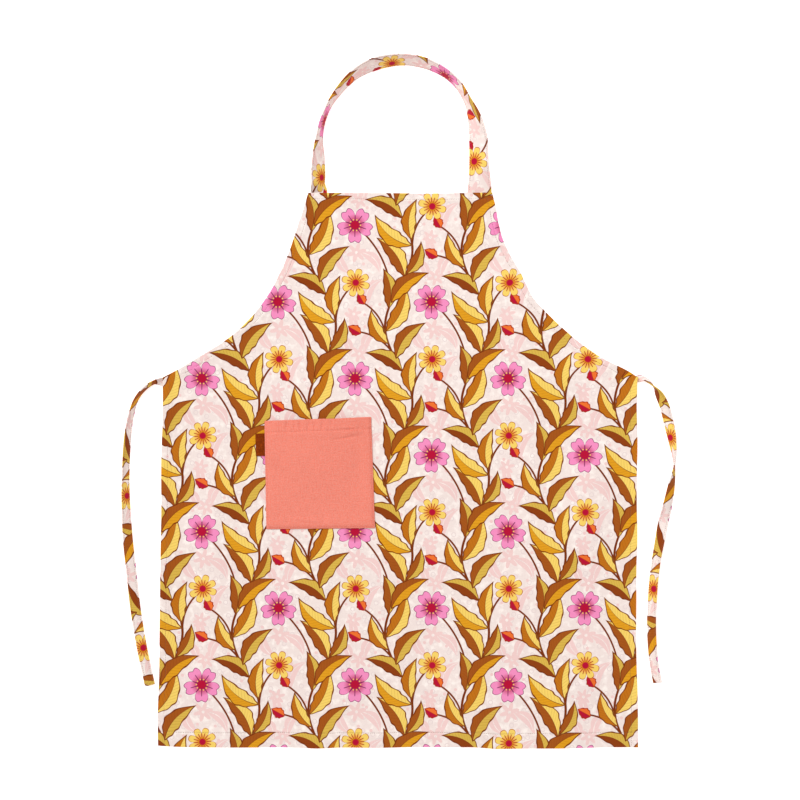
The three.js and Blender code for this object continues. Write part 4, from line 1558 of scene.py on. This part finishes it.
class APRON_OT_ties(Operator):
    """Lay the two ties, each sewn behind a waist corner"""
    bl_idname = "apron.ties"
    bl_label = "Ties"

    def execute(self, context):
        for node, stations, roots, pattern in (
            ("tie_left", LEFT_TIE_STATIONS, LEFT_TIE_ROOTS, LEFT_TIE_PATTERN),
            ("tie_right", RIGHT_TIE_STATIONS, RIGHT_TIE_ROOTS, RIGHT_TIE_PATTERN),
        ):
            make_band(node, stations, settings().bands.tie_width, roots, pattern,
                      crosswise=True, seam=TIE_SEAM, tacked=True)
        return {"FINISHED"}


class APRON_OT_pocket(Operator):
    """Sew the patch pocket on the body, open along its top"""
    bl_idname = "apron.pocket"
    bl_label = "Pocket"

    def execute(self, context):
        form = pocket_form()
        x, y = form.grid()
        thickness = np.where(form.doubled(x, y), 2 * form.cloth, form.cloth)
        pocket = cloth_sheet("apron_pocket", form.place(x, y), np.stack((x, y), axis=-1), thickness, -1.0,
                             POCKET_RIM, [coral_face()])
        hand_over(pocket, "coral_cotton", "pocket")
        thread = sewing_thread("coral_thread", settings().inks.coral_thread)
        seams = sheet_stitches("pocket_stitches", form, thread)
        hand_over(seams, "coral_cotton")
        return {"FINISHED"}


class APRON_OT_tab(Operator):
    """Fold the blank tab and catch it in the pocket's left seam"""
    bl_idname = "apron.tab"
    bl_label = "Tab"

    def execute(self, context):
        form = pocket_form()
        cut = form.cut
        length = cut.tab_out + cut.tab_caught
        tab = new_mesh("apron_tab", bpy.ops.mesh.primitive_cube_add, size=1.0,
                       scale=(length, cut.tab_height, cut.tab_thickness))
        bpy.ops.object.transform_apply(location=True, rotation=True, scale=True)

        def on_fold(edge):
            one, other = (vertex.co for vertex in edge.verts)
            off = max(abs(one.x + length / 2), abs(other.x + length / 2), abs(one.z - other.z))
            return off < TAB_SLACK

        bevel(tab, on_fold, cut.tab_thickness * TAB_FOLD_SHARE, TAB_FOLD_SEGMENTS)
        bevel(tab, is_sharp, TAB_EDGE, TAB_EDGE_SEGMENTS)
        bpy.ops.object.mode_set(mode="EDIT")
        self.divide((0.0, 1.0, 0.0), TAB_CUTS_UP * cut.tab_height)
        self.divide((1.0, 0.0, 0.0), TAB_CUTS_ALONG * length)
        bpy.ops.object.mode_set(mode="OBJECT")
        flat = np.array([vertex.co for vertex in tab.data.vertices])
        x = flat[:, 0] + (cut.tab_caught - cut.tab_out - cut.width) / 2
        y = flat[:, 1] + cut.tab_rise
        body_x, body_y = form.on_body(x, y)
        seat = form.body.top(body_x, body_y) + TAB_GAP + cut.tab_thickness / 2
        curl = TAB_CURL * smoothstep(-flat[:, 0], 0, length / 2) * (1 + ripple(y / TAB_WAVE, 0.0, 4.2))
        points = np.stack((body_x, body_y, seat + curl + flat[:, 2]), axis=1) + LAYOUT_ORIGIN
        tab.data.vertices.foreach_set("co", points.ravel())
        tab.data.update()
        tab.data.materials.append(tab_leather())
        bpy.ops.object.shade_smooth_by_angle(angle=SMOOTH_ANGLE)
        hand_over(tab, "brown_tab", "pocket_tab")
        return {"FINISHED"}

    @staticmethod
    def divide(normal, places):
        """Divides the mesh being edited by planes across one axis."""
        for place in places:
            bpy.ops.mesh.select_all(action="SELECT")
            bpy.ops.mesh.bisect(plane_co=[place * part for part in normal], plane_no=normal)


class APRON_PT_pieces(Panel):
    """The apron's pieces and settings"""
    bl_label = "Bib Apron"
    bl_space_type = "VIEW_3D"
    bl_region_type = "UI"
    bl_category = "Apron"

    def draw(self, context):
        layout = self.layout
        for operator in OPERATORS:
            layout.operator(operator.bl_idname)
        for part in ("body", "bands", "pocket", "inks", "stage"):
            box = layout.box()
            group = getattr(context.scene.apron, part)
            for name in group.__annotations__:
                box.prop(group, name)


SETTINGS = (ApronBodyCut, ApronBandCut, ApronPocketCut, ApronInks, ApronStageSetup, ApronSettings)
OPERATORS = (APRON_OT_stage, APRON_OT_body, APRON_OT_neck_strap, APRON_OT_ties, APRON_OT_tab,
             APRON_OT_pocket)


def register():
    for kind in (*SETTINGS, *OPERATORS, APRON_PT_pieces):
        bpy.utils.register_class(kind)
    bpy.types.Scene.apron = PointerProperty(type=ApronSettings)


def unregister():
    del bpy.types.Scene.apron
    for kind in reversed((*SETTINGS, *OPERATORS, APRON_PT_pieces)):
        bpy.utils.unregister_class(kind)


def main():
    register()
    bpy.ops.apron.stage()
    bpy.ops.apron.body()
    bpy.ops.apron.neck_strap()
    bpy.ops.apron.ties()
    bpy.ops.apron.tab()
    bpy.ops.apron.pocket()


if __name__ == "__main__":
    main()
